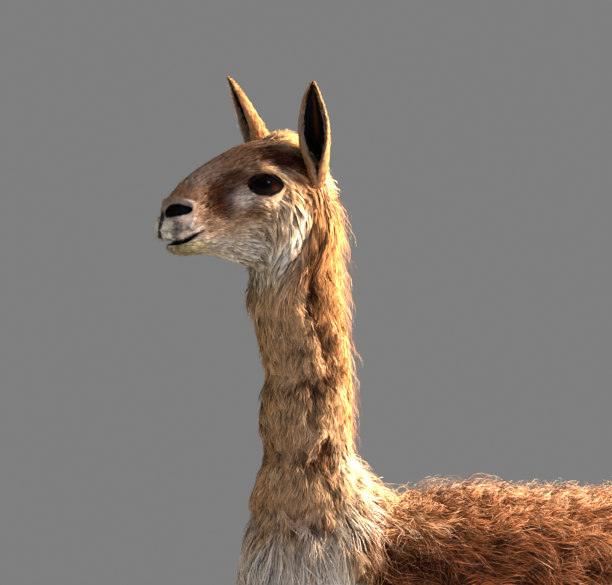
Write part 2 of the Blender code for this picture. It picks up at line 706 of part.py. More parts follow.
def part_trunk(neck, torso, bib, helpers):
    """Parts neck, bib and torso with thin plane cuts, and clears the tail's place."""
    point, way = plane_at(HEAD_END)
    keep_side(neck, point + way * GAP, way, helpers)
    point, way = plane_at(NECK_END)
    keep_side(neck, point - way * GAP, -way, helpers)
    for thing in (torso, bib):
        keep_side(thing, point + way * GAP, way, helpers)
    keep_side(torso, (BIB_PLANE_X + GAP, 0, 0), (1, 0, 0), helpers)
    keep_side(bib, (BIB_PLANE_X - GAP, 0, 0), (-1, 0, 0), helpers)
    apply_boolean(torso, "DIFFERENCE", tail_room(GAP, helpers))


def tail_room(grow, group):
    """The space of the tail: behind a sloping plane and between two upright ones."""
    upper, lower = TAIL_PLANE_TOP, TAIL_PLANE_LOW
    way = Vector((upper[1] - lower[1], 0, lower[0] - upper[0])).normalized()
    room = half_space(Vector((upper[0], 0, upper[1])) - way * grow, way, group)
    keep_side(room, (0, TAIL_SLOT_HALF + grow, 0), (0, -1, 0), group)
    keep_side(room, (0, -TAIL_SLOT_HALF - grow, 0), (0, 1, 0), group)
    return room


def make_tail(parts, helpers, rng):
    """A short brush of a tail that hangs behind the rump."""
    places = np.linspace(0, len(TAIL) - 1, 10)
    tail = skin_rings(rings(TAIL, places, around(12)), "tail", parts)
    hair = new_collection("tail hair")
    spots = brick_spots(1.2, len(TAIL) - 2.2, 1.2, 3, rng)
    add_locks(hair, spots, TAIL, TAIL_LOCK, 0.55, rng)
    apply_boolean(tail, "UNION", hair)
    apply_boolean(tail, "INTERSECT", tail_room(0.0, helpers))
    return tail


def make_toes(name, side, ankle_x, ankle_side, parts):
    """Two toes side by side with flat soles, joined by a web at the heel."""
    angles = around(8)
    toes = []
    for spread in (-1, 1):
        grid = []
        for x, top, half in TOE:
            y = ankle_side * side + spread * TOE_SPREAD
            ring = np.stack((
                np.full(len(angles), ankle_x + x),
                y + half * np.sin(angles),
                (top - SOLE_CUT) / 2 + (top + SOLE_CUT) / 2 * np.cos(angles),
            ), axis=1)
            ring[:, 2] = np.maximum(ring[:, 2], 0.0)
            grid.append(ring)
        toes.append(skin_rings(np.array(grid), name, parts))
    apply_boolean(toes[0], "UNION", toes[1])
    toes[0].name = name
    return toes[0]


def make_nail(name, side, spread, ankle_x, ankle_side, grow, group):
    angles = around(6)
    grid = []
    for x, top, low, half in NAIL:
        y = ankle_side * side + spread * TOE_SPREAD
        ring = np.stack((
            np.full(len(angles), ankle_x + x - (grow if x < -0.07 else -grow)),
            y + (half + grow) * np.sin(angles),
            (top + low) / 2 + ((top - low) / 2 + grow) * np.cos(angles),
        ), axis=1)
        grid.append(ring)
    return skin_rings(np.array(grid), name, group)


def make_leg(kind, rows, side, cuts, ankle_x, ankle_side, parts, helpers):
    """One leg in three lengths: to the knee or hock, to the fetlock, and the foot."""
    where = "left" if side < 0 else "right"
    top, middle, low = cuts
    names = {"fore": ("forearm", "fore_cannon", "fore_foot"),
             "hind": ("thigh", "hind_cannon", "hind_foot")}[kind]
    lengths = []
    whole = leg_tube(rows, side, 0.0, helpers)
    for name, high, floor in ((names[0], top, middle), (names[1], middle, low)):
        piece = duplicate(whole, f"{name}_{where}", parts)
        keep_side(piece, (0, 0, high - GAP / 2), (0, 0, -1), helpers)
        keep_side(piece, (0, 0, floor + GAP / 2), (0, 0, 1), helpers)
        lengths.append(piece)
    foot = make_toes(f"{names[2]}_{where}", side, ankle_x, ankle_side, parts)
    keep_side(whole, (0, 0, low - GAP / 2), (0, 0, -1), helpers)
    keep_side(whole, (0, 0, SHANK_FLOOR_Z), (0, 0, 1), helpers)
    apply_boolean(foot, "UNION", whole)
    keep_side(foot, (0, 0, low - GAP / 2), (0, 0, -1), helpers)
    nails = []
    for spread in (-1, 1):
        order = "outer" if spread == side else "inner"
        name = f"{kind}_nail_{order}_{where}"
        wide = make_nail("cutter", side, spread, ankle_x, ankle_side, GAP, helpers)
        apply_boolean(foot, "DIFFERENCE", wide)
        nails.append(make_nail(name, side, spread, ankle_x, ankle_side, 0.0, parts))
    for piece in (*lengths, foot):
        largest_body(piece)
    return lengths, foot, nails


def clear_upper_leg(torso, rows, side, cut, helpers):
    """Cuts the torso clear of the part of a leg that is a node of its own."""
    cutter = leg_tube(rows, side, GAP, helpers)
    keep_side(cutter, (0, 0, cut + GAP / 2), (0, 0, -1), helpers)
    apply_boolean(torso, "DIFFERENCE", cutter)


def stand_on_origin(things):
    """Moves every piece so that the whole stands on z = 0 with its box centred on the origin."""
    corners = np.array([v.co for thing in things for v in thing.data.vertices])
    low, high = corners.min(axis=0), corners.max(axis=0)
    shift = Vector((-(low[0] + high[0]) / 2, -(low[1] + high[1]) / 2, -low[2]))
    for thing in things:
        thing.data.transform(Matrix.Translation(shift))


def set_finish(thing, finish):
    thing.data.materials.clear()
    thing.data.materials.append(finish)
    thing.data.shade_smooth()
    thing.data.set_sharp_from_angle(angle=SHARP_ANGLE)


def main():
    clear_scene()
    parts = new_collection("vicuna")
    helpers = new_collection("cutters")
    rng = np.random.default_rng(SEED)
    finishes = {
        name: new_material(name, colour, 0.15 if name == "eye" else 0.8)
        for name, colour in COLOURS.items()
    }

    head = make_head(parts, helpers)
    swollen = swollen_copy(head, 2 * GAP, helpers)
    ears = []
    for side, where, (tip, out) in ((-1, "left", LEFT_EAR), (1, "right", RIGHT_EAR)):
        ear = ear_sheet(side, tip, math.radians(out), f"ear_{where}", parts)
        cutter = duplicate(swollen, "cutter", helpers)
        apply_boolean(ear, "DIFFERENCE", cutter)
        largest_body(ear)
        ears.append(ear)
    bpy.data.objects.remove(swollen)
    eyes = [eye_ball(f"eye_{w}", s, 0.0, parts) for s, w in ((-1, "left"), (1, "right"))]

    neck = make_neck(parts, rng)
    torso = make_torso(parts, helpers, rng)
    bib = make_bib(parts, rng)
    part_trunk(neck, torso, bib, helpers)
    tail = make_tail(parts, helpers, rng)

    legs, feet, nails = [], [], []
    for kind, rows, cuts, ankle_x, ankle_side in (
        ("fore", FORELEG, (FORELEG_CUT_Z, KNEE_CUT_Z, FORE_FOOT_CUT_Z), FORE_FOOT_X, FORE_SIDE),
        ("hind", HINDLEG, (THIGH_CUT_Z, HOCK_CUT_Z, HIND_FOOT_CUT_Z), HIND_FOOT_X, HIND_SIDE),
    ):
        for side in (-1, 1):
            lengths, foot, pair = make_leg(
                kind, rows, side, cuts, ankle_x, ankle_side, parts, helpers
            )
            clear_upper_leg(torso, rows, side, cuts[0], helpers)
            legs += lengths
            feet.append(foot)
            nails += pair
    for thing in (neck, torso, bib, tail):
        largest_body(thing)

    for thing in (neck, *ears, *legs):
        set_finish(thing, finishes["tawny"])
    set_finish(head, finishes["face"])
    set_finish(torso, finishes["fleece"])
    set_finish(bib, finishes["cream"])
    for thing in (tail, *feet):
        set_finish(thing, finishes["buff"])
    for thing in eyes:
        set_finish(thing, finishes["eye"])
    for thing in nails:
        set_finish(thing, finishes["nail"])
    stand_on_origin(list(parts.objects))


main()
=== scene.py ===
"""Looks of the life-size vicuna: skin, eyes, nails, coat and stage.

Sizes are in metres. The body is worked out in the frame of the part's source and moved by SHIFT
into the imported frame. Each tube (trunk, leg, toe, tail, ear) is a grid of points: lines run along
it and turns run round it, turn 0 at the upper or front point.
"""

import math

import bpy
import numpy as np
from bpy.props import FloatProperty, FloatVectorProperty, IntProperty, PointerProperty
from bpy.types import Operator, Panel, PropertyGroup
from mathutils import Matrix, Vector


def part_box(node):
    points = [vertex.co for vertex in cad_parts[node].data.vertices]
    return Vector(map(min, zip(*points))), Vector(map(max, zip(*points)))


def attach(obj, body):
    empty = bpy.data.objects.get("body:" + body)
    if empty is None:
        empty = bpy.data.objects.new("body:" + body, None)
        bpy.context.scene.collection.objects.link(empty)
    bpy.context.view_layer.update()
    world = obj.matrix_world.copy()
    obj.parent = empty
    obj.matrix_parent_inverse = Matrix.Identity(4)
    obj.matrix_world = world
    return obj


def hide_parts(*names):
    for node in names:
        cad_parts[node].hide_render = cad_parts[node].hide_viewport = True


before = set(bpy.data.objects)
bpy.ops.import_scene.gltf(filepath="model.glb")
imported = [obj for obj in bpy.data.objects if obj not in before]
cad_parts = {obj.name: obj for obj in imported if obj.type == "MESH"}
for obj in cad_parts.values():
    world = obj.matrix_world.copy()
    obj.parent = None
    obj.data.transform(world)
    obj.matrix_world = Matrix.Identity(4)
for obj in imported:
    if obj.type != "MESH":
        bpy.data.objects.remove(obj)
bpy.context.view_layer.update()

bl_info = {
    "name": "Vicuna",
    "version": (1, 0, 0),
    "blender": (4, 5, 0),
    "location": "3D View > Sidebar > Vicuna",
    "description": "Builds the skin, coat, eyes and nails of a life-size vicuna",
    "category": "Object",
}

SIDES = {"left": -1.0, "right": 1.0}
TAU = 2 * math.pi

# Creases of the neck's wool: path of share of the half girth from the nape, and height; radius; depth
CREASES = (
    (((0.40, 1.012), (0.48, 1.000), (0.56, 0.990), (0.72, 0.991), (1.0, 1.001)), 0.011, 0.9),
    (((0.46, 0.912), (0.52, 0.898), (0.60, 0.897), (0.74, 0.911), (1.0, 0.906)), 0.012, 1.0),
    (((0.52, 0.806), (0.60, 0.812), (0.76, 0.819), (1.0, 0.815)), 0.011, 0.8),
    (((0.52, 1.050), (0.66, 1.052), (0.80, 1.058)), 0.008, 0.5),
    (((0.58, 1.190), (0.57, 1.130), (0.55, 1.090), (0.50, 1.050), (0.43, 1.005)), 0.008, 0.9),
    (((0.62, 0.985), (0.60, 0.950), (0.63, 0.910)), 0.007, 0.5),
    (((0.50, 0.895), (0.53, 0.860), (0.55, 0.815)), 0.007, 0.4),
)
CREASE_DEPTH = 0.0075
CREASE_REACH = 1.35
HALF_GIRTH = 0.170
FLEECE_LUMPS = 0.0050

# Points round each kind of tube, how many of the trunk's first lines hold the face, and the place
# along the trunk where the head ends
TRUNK_TURNS = 168
LEG_TURNS = 40
TOE_TURNS = 28
TAIL_TURNS = 32
FACE_LINES = 170
HEAD_END = 12.5

# Tufts to the square metre
HEAD_DENSITY = 560_000
MUZZLE_EXTRA_DENSITY = 500_000
NECK_DENSITY = 500_000
BIB_DENSITY = 255_000
FLEECE_DENSITY = 112_000
LEG_DENSITY = 106_000
TOE_DENSITY = 350_000
TAIL_DENSITY = 300_000
EAR_DENSITY = 740_000
STRAY_DENSITY_TOP = 9500.0
STRAY_DENSITY_SIDE = 3200.0

# Height up to which the coat of a leg grows; above it the body's fleece takes over
COAT_TOP = {"fore": 0.60, "hind": 0.76}

# Stage
FLOOR_LEVEL = -0.0004
FLOOR_FADE = (1.8, 4.6)
BACKDROP = (0.50, 0.51, 0.50, 1.0)
BACKDROP_STRENGTH = 0.42
CAMERA_AZIMUTH = math.radians(-33.0)
CAMERA_ELEVATION = math.radians(0.2)
CAMERA_DISTANCE = 6.0
AIM_HEIGHT = 1.108
LIGHTS_AIM_HEIGHT = 0.85
WARM = (1.0, 0.90, 0.75)
WARM_RIM = (1.0, 0.93, 0.82)
SOFT = (1.0, 0.95, 0.87)
BLUE = (0.30, 0.50, 1.0)
GLINT_WAY = (0.16, -0.87, 0.52)
GLINT_POWER = 29.0

# Named sizes, as in the part's source
EYE_CENTRE = (-0.0925, 0.0410, 1.2480)
BALL_HALF_SIZE = (0.0255, 0.0165, 0.0112)
BALL_SHIFT = 0.0024
EYE_TURN_FORWARD = math.radians(12)
EYE_TILT_UP = math.radians(4)
OPENING_SHIFT = 0.0034
OPENING_HALF_LONG = 0.0226
OPENING_RISE = 0.0126
OPENING_DROP = 0.0126
EAR_ROOT = (-0.0190, 0.0440, 1.2560)
EAR_HALF_WIDTH = 0.0192
EAR_CUP_DEPTH = 0.025
EAR_WALL = 0.0026
EARS = {"left": ((-0.0280, 0.0700, 1.3830), 57), "right": ((-0.0835, 0.0720, 1.3915), 14)}
TOE_SPREAD = 0.0145
SOLE_CUT = 0.012
FORE_FOOT_X = 0.094
HIND_FOOT_X = 0.676
FORE_SIDE = 0.088
HIND_SIDE = 0.086

# Each trunk station: upper x, z; lower x, z; half width; level of the widest part; squareness
TRUNK = np.array((
    (-0.2250, 1.1930, -0.2260, 1.1850, 0.0060, 0.50, 2.2),
    (-0.2190, 1.2090, -0.2235, 1.1730, 0.0155, 0.50, 2.3),
    (-0.2125, 1.2250, -0.2175, 1.1645, 0.0218, 0.50, 2.4),
    (-0.2020, 1.2390, -0.2040, 1.1580, 0.0255, 0.48, 2.4),
    (-0.1860, 1.2560, -0.1850, 1.1550, 0.0272, 0.46, 2.3),
    (-0.1635, 1.2715, -0.1600, 1.1580, 0.0290, 0.48, 2.2),
    (-0.1380, 1.2855, -0.1330, 1.1535, 0.0335, 0.55, 2.2),
    (-0.1120, 1.2975, -0.1080, 1.1470, 0.0420, 0.60, 2.2),
    (-0.0860, 1.3065, -0.0800, 1.1405, 0.0480, 0.60, 2.2),
    (-0.0520, 1.3110, -0.0705, 1.1325, 0.0500, 0.58, 2.2),
    (-0.0180, 1.3050, -0.0690, 1.1235, 0.0505, 0.55, 2.1),
    (0.0140, 1.2800, -0.0690, 1.1140, 0.0505, 0.52, 2.1),
    (0.0335, 1.2400, -0.0695, 1.1040, 0.0510, 0.50, 2.1),
    (0.0395, 1.2000, -0.0715, 1.0920, 0.0515, 0.50, 2.0),
    (0.0465, 1.1400, -0.0745, 1.0750, 0.0520, 0.50, 2.0),
    (0.0540, 1.0750, -0.0680, 1.0450, 0.0515, 0.50, 2.0),
    (0.0580, 1.0200, -0.0610, 1.0080, 0.0505, 0.50, 2.0),
    (0.0610, 0.9750, -0.0650, 0.9660, 0.0535, 0.50, 2.0),
    (0.0610, 0.9300, -0.0640, 0.9250, 0.0530, 0.50, 2.0),
    (0.0665, 0.8850, -0.0640, 0.8800, 0.0565, 0.50, 2.0),
    (0.0980, 0.8520, -0.0755, 0.8400, 0.0680, 0.50, 2.0),
    (0.1450, 0.8315, -0.0860, 0.7850, 0.0860, 0.50, 2.0),
    (0.1950, 0.8345, -0.0920, 0.7150, 0.1080, 0.50, 2.0),
    (0.2350, 0.8450, -0.0780, 0.6250, 0.1300, 0.50, 2.0),
    (0.2750, 0.8495, -0.0200, 0.5450, 0.1500, 0.52, 2.1),
    (0.3350, 0.8470, 0.0900, 0.5050, 0.1630, 0.54, 2.1),
    (0.4200, 0.8405, 0.2400, 0.4920, 0.1720, 0.54, 2.2),
    (0.5100, 0.8385, 0.4000, 0.5050, 0.1720, 0.54, 2.2),
    (0.5950, 0.8450, 0.5300, 0.5450, 0.1600, 0.55, 2.2),
    (0.6650, 0.8380, 0.6300, 0.6100, 0.1370, 0.55, 2.2),
    (0.7150, 0.8120, 0.7000, 0.6700, 0.1000, 0.55, 2.1),
    (0.7420, 0.7600, 0.7400, 0.7300, 0.0300, 0.50, 2.0),
))
# Depth from the outline in to the skin at a few trunk stations: station, depth
SKIN_DEPTH = np.array((
    (0.0, 0.0015), (8.0, 0.0030), (11.0, 0.0045), (13.0, 0.0050), (15.0, 0.0075),
    (20.0, 0.0100), (24.0, 0.0170), (28.0, 0.0170), (31.0, 0.0120),
))
# Each leg station: front x, z; back x, z; half width; level of the widest part; squareness; side
FORELEG = np.array((
    (0.0350, 0.6500, 0.1700, 0.6700, 0.0420, 0.5, 2.0, 0.0950),
    (0.0600, 0.5600, 0.1620, 0.5700, 0.0390, 0.5, 2.0, 0.0970),
    (0.0750, 0.4900, 0.1490, 0.4920, 0.0300, 0.5, 2.1, 0.0950),
    (0.0830, 0.4100, 0.1350, 0.4100, 0.0235, 0.5, 2.1, 0.0920),
    (0.0830, 0.3450, 0.1280, 0.3450, 0.0215, 0.5, 2.2, 0.0900),
    (0.0780, 0.3020, 0.1290, 0.3020, 0.0238, 0.5, 2.4, 0.0890),
    (0.0850, 0.2550, 0.1270, 0.2550, 0.0185, 0.5, 2.2, 0.0885),
    (0.0880, 0.1850, 0.1230, 0.1850, 0.0158, 0.5, 2.1, 0.0880),
    (0.0870, 0.1150, 0.1260, 0.1150, 0.0180, 0.5, 2.1, 0.0880),
    (0.0790, 0.0840, 0.1280, 0.0840, 0.0225, 0.5, 2.2, 0.0880),
    (0.0640, 0.0500, 0.1230, 0.0500, 0.0235, 0.5, 2.3, 0.0880),
))
HINDLEG = np.array((
    (0.5000, 0.7200, 0.7050, 0.7400, 0.0560, 0.5, 2.0, 0.0850),
    (0.4780, 0.6300, 0.7250, 0.6600, 0.0600, 0.5, 2.0, 0.0920),
    (0.4880, 0.5550, 0.7020, 0.5800, 0.0500, 0.5, 2.1, 0.0950),
    (0.5380, 0.4850, 0.6980, 0.5100, 0.0375, 0.5, 2.1, 0.0930),
    (0.6100, 0.4130, 0.7120, 0.4300, 0.0265, 0.5, 2.1, 0.0900),
    (0.6620, 0.3480, 0.7390, 0.3600, 0.0240, 0.5, 2.3, 0.0880),
    (0.6720, 0.2950, 0.7270, 0.2950, 0.0200, 0.5, 2.2, 0.0870),
    (0.6740, 0.2000, 0.7140, 0.2000, 0.0165, 0.5, 2.1, 0.0860),
    (0.6700, 0.1200, 0.7110, 0.1200, 0.0180, 0.5, 2.1, 0.0860),
    (0.6600, 0.0850, 0.7110, 0.0850, 0.0225, 0.5, 2.2, 0.0860),
    (0.6460, 0.0500, 0.7050, 0.0500, 0.0235, 0.5, 2.3, 0.0860),
))
# Each toe station, from the fetlock: x; height of the top; half width
TOE = np.array((
    (0.0340, 0.0200, 0.0070), (0.0280, 0.0380, 0.0115), (0.0080, 0.0620, 0.0140),
    (-0.0160, 0.0590, 0.0150), (-0.0380, 0.0400, 0.0145), (-0.0560, 0.0270, 0.0120),
    (-0.0640, 0.0180, 0.0085),
))
# Each nail station, from the fetlock: x; top; underside; half width
NAIL = np.array((
    (-0.0480, 0.0300, 0.0150, 0.0070), (-0.0600, 0.0270, 0.0080, 0.0085),
    (-0.0720, 0.0180, 0.0030, 0.0055), (-0.0800, 0.0090, 0.0024, 0.0020),
))
# Each tail station: upper x, z; lower x, z; half width; level; squareness
TAIL = np.array((
    (0.7000, 0.8200, 0.7000, 0.7800, 0.0200, 0.5, 2.0),
    (0.7480, 0.8100, 0.7180, 0.7700, 0.0240, 0.5, 2.0),
    (0.7850, 0.7500, 0.7450, 0.7350, 0.0250, 0.5, 2.0),
    (0.8000, 0.6850, 0.7580, 0.6800, 0.0270, 0.5, 2.0),
    (0.8010, 0.6250, 0.7620, 0.6250, 0.0240, 0.5, 2.0),
    (0.7950, 0.5850, 0.7680, 0.5850, 0.0150, 0.5, 2.0),
))
# Soft swellings and hollows of the head: centre x, side, z; radius; push forward, outward, up
HEAD_FORMS = (
    ((-0.100, 0.040, 1.274), 0.020, (0.0000, 0.0045, 0.0030)),
    ((-0.095, 0.044, 1.222), 0.018, (0.0000, 0.0040, -0.0010)),
    ((-0.050, 0.046, 1.190), 0.030, (0.0000, 0.0050, 0.0000)),
    ((-0.145, 0.032, 1.232), 0.026, (0.0000, -0.0045, 0.0000)),
    ((-0.212, 0.018, 1.224), 0.011, (-0.0010, 0.0040, 0.0005)),
    ((-0.219, 0.008, 1.2165), 0.0095, (-0.0038, 0.0000, 0.0000)),
    ((-0.205, 0.022, 1.190), 0.014, (-0.0020, 0.0035, 0.0000)),
    ((-0.170, 0.026, 1.200), 0.012, (0.0000, -0.0020, 0.0000)),
)
# The nostril as a curved horn: x, side and z of the middle; half height
NOSTRIL = np.array((
    (-0.2180, 0.0105, 1.2108, 0.0060), (-0.2150, 0.0145, 1.2133, 0.0086),
    (-0.2095, 0.0190, 1.2145, 0.0082), (-0.2010, 0.0240, 1.2148, 0.0056),
    (-0.1920, 0.0272, 1.2158, 0.0035), (-0.1850, 0.0285, 1.2174, 0.0014),
))
# Ridges and creases of the face: path of x, side, z; radius; rise outwards
STROKES = (
    (((-0.2130, 0.0145, 1.2268), (-0.2060, 0.0190, 1.2275), (-0.1970, 0.0225, 1.2252),
      (-0.1905, 0.0245, 1.2215)), 0.0037, 0.0036),
    (((-0.2065, 0.0180, 1.2328), (-0.1960, 0.0220, 1.2325), (-0.1850, 0.0250, 1.2310)),
     0.0032, -0.0062),
    (((-0.2210, 0.0085, 1.1930), (-0.2160, 0.0160, 1.1900), (-0.2060, 0.0220, 1.1900),
      (-0.1950, 0.0250, 1.1910)), 0.0080, 0.0024),
    (((-0.2080, 0.0200, 1.2040), (-0.1960, 0.0250, 1.2035), (-0.1840, 0.0275, 1.2060)),
     0.0030, -0.0010),
    (((-0.1800, 0.0262, 1.2080), (-0.1660, 0.0270, 1.1950), (-0.1560, 0.0280, 1.1900)),
     0.0050, -0.0010),
    (((-0.1250, 0.0400, 1.2600), (-0.1120, 0.0440, 1.2690), (-0.0930, 0.0480, 1.2720),
      (-0.0700, 0.0490, 1.2640)), 0.0060, 0.0028),
    (((-0.1300, 0.0380, 1.2250), (-0.1100, 0.0430, 1.2190), (-0.0880, 0.0460, 1.2200)),
     0.0060, 0.0014),
    (((-0.0480, 0.0500, 1.2220), (-0.0560, 0.0500, 1.1900), (-0.0740, 0.0440, 1.1640)),
     0.0130, 0.0034),
    (((-0.0180, 0.0500, 1.2150), (-0.0270, 0.0500, 1.1800), (-0.0480, 0.0430, 1.1430)),
     0.0090, -0.0055),
    (((-0.0040, 0.0480, 1.2600), (-0.0080, 0.0500, 1.2420), (-0.0220, 0.0500, 1.2250)),
     0.0130, 0.0075),
)
# Mouth in side view, front to corner: x; lower edge of the upper lip; upper edge of the lower lip
MOUTH = np.array((
    (-0.2260, 1.1782, 1.1690), (-0.2180, 1.1776, 1.1690), (-0.2080, 1.1772, 1.1694),
    (-0.1980, 1.1786, 1.1722), (-0.1880, 1.1815, 1.1772), (-0.1780, 1.1848, 1.1830),
    (-0.1680, 1.1885, 1.1876), (-0.1600, 1.1905, 1.1900),
))
# Front of the lower lip and chin: z; x
CHIN = np.array(((1.1500, -0.1990), (1.1560, -0.2040), (1.1620, -0.2075), (1.1665, -0.2080)))
CLEFT = ((-0.2180, 0.0, 1.2080), (-0.2225, 0.0, 1.1960), (-0.2240, 0.0, 1.1770))

# Colours, linear
WHITE = (0.88, 0.80, 0.70)
CREAM = (0.72, 0.52, 0.34)
BUFF = (0.54, 0.315, 0.155)
TAN = (0.46, 0.240, 0.120)
ORANGE = (0.46, 0.190, 0.065)
GOLD = (0.84, 0.54, 0.27)
CINNAMON = (0.185, 0.056, 0.0165)
DARK_BROWN = (0.095, 0.026, 0.009)
PATCH_BROWN = (0.074, 0.018, 0.004)
# Grey-brown of the bridge and forehead, with a mauve cast that is painted cool shade
MAUVE_AND_COOL_SHADE = (0.30, 0.185, 0.125)
BEIGE = (0.70, 0.55, 0.44)
FOREHEAD = (0.28, 0.104, 0.034)
# Pale brow stripe, brightened as painted sunlight on the brow ridge
PALE_BROW_AND_SUNLIGHT = (0.95, 0.54, 0.26)
RUST = (0.34, 0.130, 0.045)
DEEP_BROWN = (0.045, 0.010, 0.0035)
SMOKE = (0.13, 0.120, 0.125)
LIP = (0.245, 0.205, 0.178)
INNER_EAR = (0.46, 0.37, 0.31)
BIB_WHITE = (0.93, 0.91, 0.90)
BIB_PINK = (0.60, 0.42, 0.29)
# Painted shade for the neck's creases and for the parting behind the jaw
CREASE_SHADE_BROWN = (0.070, 0.022, 0.008)
THROAT = (0.60, 0.43, 0.27)
# Pale gold at the back of the bib, partly painted sunlight
BIB_GOLD_AND_SUNLIGHT = (0.97, 0.78, 0.55)
NAPE_TIP = (0.68, 0.34, 0.13)
NECK_TIP = (0.82, 0.51, 0.28)
BLACK = (0.004, 0.0035, 0.0035)
BLUE_BLACK = (0.009, 0.012, 0.026)
CHIN_BUFF = (0.38, 0.31, 0.165)
# Pale wool low on the back of the neck, made paler as painted sunlight
NECK_FOOT_PALE_AND_SUNLIT = (0.84, 0.60, 0.38)
# Gold crown hair, made brighter as painted backlight
CROWN_GOLD_AND_BACKLIGHT = (0.80, 0.46, 0.20)


def box_middle(node):
    low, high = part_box(node)
    return np.array((low + high) / 2)


EYE_MIDDLE = (box_middle("eye_left") + box_middle("eye_right")) / 2
SHIFT = EYE_MIDDLE - np.array((EYE_CENTRE[0], 0.0, EYE_CENTRE[2]))
RIM_ANGLES = np.linspace(0, TAU, 721)[:-1]


def unit(vectors):
    """Each vector over its own length."""
    return vectors / np.maximum(np.linalg.norm(vectors, axis=-1, keepdims=True), 1e-12)


def smooth(values, low, high):
    """0 below low, 1 above high, and 3s^2 - 2s^3 of the share s between them."""
    share = np.clip((values - low) / (high - low), 0.0, 1.0)
    return share * share * (3 - 2 * share)


def pick(keep, *arrays):
    """The same rows of several arrays."""
    return [values[keep] for values in arrays]


def mix(base, colour, mask):
    """base moved towards colour by the mask."""
    return base + (np.asarray(colour) - base) * np.asarray(mask)[..., None]


def ripple(points, size, seed):
    """A smooth random value of about -1 to 1: the mean of sine waves of like length that run
    in random directions."""
    rng = np.random.default_rng(seed)
    waves = rng.normal(size=(3, 14)) * (TAU / size / 1.7)
    phases = rng.uniform(0, TAU, 14)
    return np.sin(points @ waves + phases).mean(axis=-1) * 2.6


def ripple_vector(points, size, seed):
    return np.stack([ripple(points, size, seed + axis) for axis in range(3)], axis=-1)


def stroke_gap(points, path):
    """Distance from each point to the nearest place on a path of straight lengths."""
    path = np.asarray(path, float)
    best = np.full(points.shape[:-1], np.inf)
    for start, end in zip(path[:-1], path[1:]):
        span = end - start
        share = np.clip(((points - start) @ span) / (span @ span), 0, 1)
        best = np.minimum(best, np.linalg.norm(points - start - share[..., None] * span, axis=-1))
    return best


def mirrored(points):
    """The points with every side value made positive."""
    folded = points.copy()
    folded[..., 1] = np.abs(folded[..., 1])
    return folded


def through(rows, places):
    """A Catmull-Rom curve through the rows, read at these fractional row numbers."""
    rows = np.asarray(rows, float)
    places = np.clip(np.asarray(places, float), 0, len(rows) - 1)
    first = np.minimum(places.astype(int), len(rows) - 2)
    share = (places - first)[:, None]
    padded = np.vstack((2 * rows[0] - rows[1], rows, 2 * rows[-1] - rows[-2]))
    a, b, c, d = (padded[first + shift] for shift in range(4))
    return 0.5 * (
        2 * b + (c - a) * share + (2 * a - 5 * b + 4 * c - d) * share**2
        + (3 * b - a - 3 * c + d) * share**3
    )


def rings(rows, places, angles, inset=0.0):
    """Sections of a tube: two half superellipses each, angle 0 at the upper or front point."""
    row = through(rows, places)
    upper, lower = row[:, 0:2], row[:, 2:4]
    span = upper - lower
    height = np.linalg.norm(span, axis=1)
    rise_way = span / height[:, None]
    level = row[:, 5]
    side = row[:, 7] if row.shape[1] > 7 else np.zeros(len(row))
    inset = np.broadcast_to(inset, height.shape)
    rise = np.maximum((1 - level) * height - inset, 0.0004)
    drop = np.maximum(level * height - inset, 0.0004)
    half = np.maximum(row[:, 4] - inset, 0.0004)
    power = (2 / row[:, 6])[:, None]
    cosine, sine = np.cos(angles)[None, :], np.sin(angles)[None, :]
    along = np.sign(cosine) * np.abs(cosine) ** power
    along = along * np.where(cosine > 0, rise[:, None], drop[:, None])
    across = np.sign(sine) * np.abs(sine) ** power * half[:, None]
    middle = lower + span * level[:, None]
    x = middle[:, None, 0] + rise_way[:, None, 0] * along
    z = middle[:, None, 1] + rise_way[:, None, 1] * along
    return np.stack((x, side[:, None] + across, z), axis=2)


def around(count):
    return np.arange(count) * (TAU / count)


def push_forms(points):
    """Adds each form's push times exp(-(distance / radius)^2), alike on both sides."""
    points = points.copy()
    for centre, radius, push in HEAD_FORMS:
        for side in (-1.0, 1.0):
            middle = np.array((centre[0], centre[1] * side, centre[2]))
            far = ((points - middle) ** 2).sum(axis=-1) / radius**2
            points += np.exp(-far)[..., None] * np.array((push[0], push[1] * side, push[2]))
    return points


def nostril_share(points):
    """Distance to the nostril's middle line over the half height there: under 1 is inside."""
    folded = mirrored(points)
    best = np.full(points.shape[:-1], np.inf)
    for start, end in zip(NOSTRIL[:-1], NOSTRIL[1:]):
        span = end[:3] - start[:3]
        share = np.clip(((folded - start[:3]) @ span) / (span @ span), 0, 1)
        gap = np.linalg.norm(folded - start[:3] - share[..., None] * span, axis=-1)
        best = np.minimum(best, gap / (start[3] + share * (end[3] - start[3])))
    return best


def mouth_share(points):
    """How far up a point lies between the lips, 0 at the lower and 1 at the upper, and how open
    the mouth is there. Behind the corner it is shut."""
    x, z = points[..., 0], points[..., 2]
    upper = np.interp(x, MOUTH[:, 0], MOUTH[:, 1])
    lower = np.interp(x, MOUTH[:, 0], MOUTH[:, 2])
    return (z - lower) / np.maximum(upper - lower, 1e-4), x < MOUTH[-1, 0]


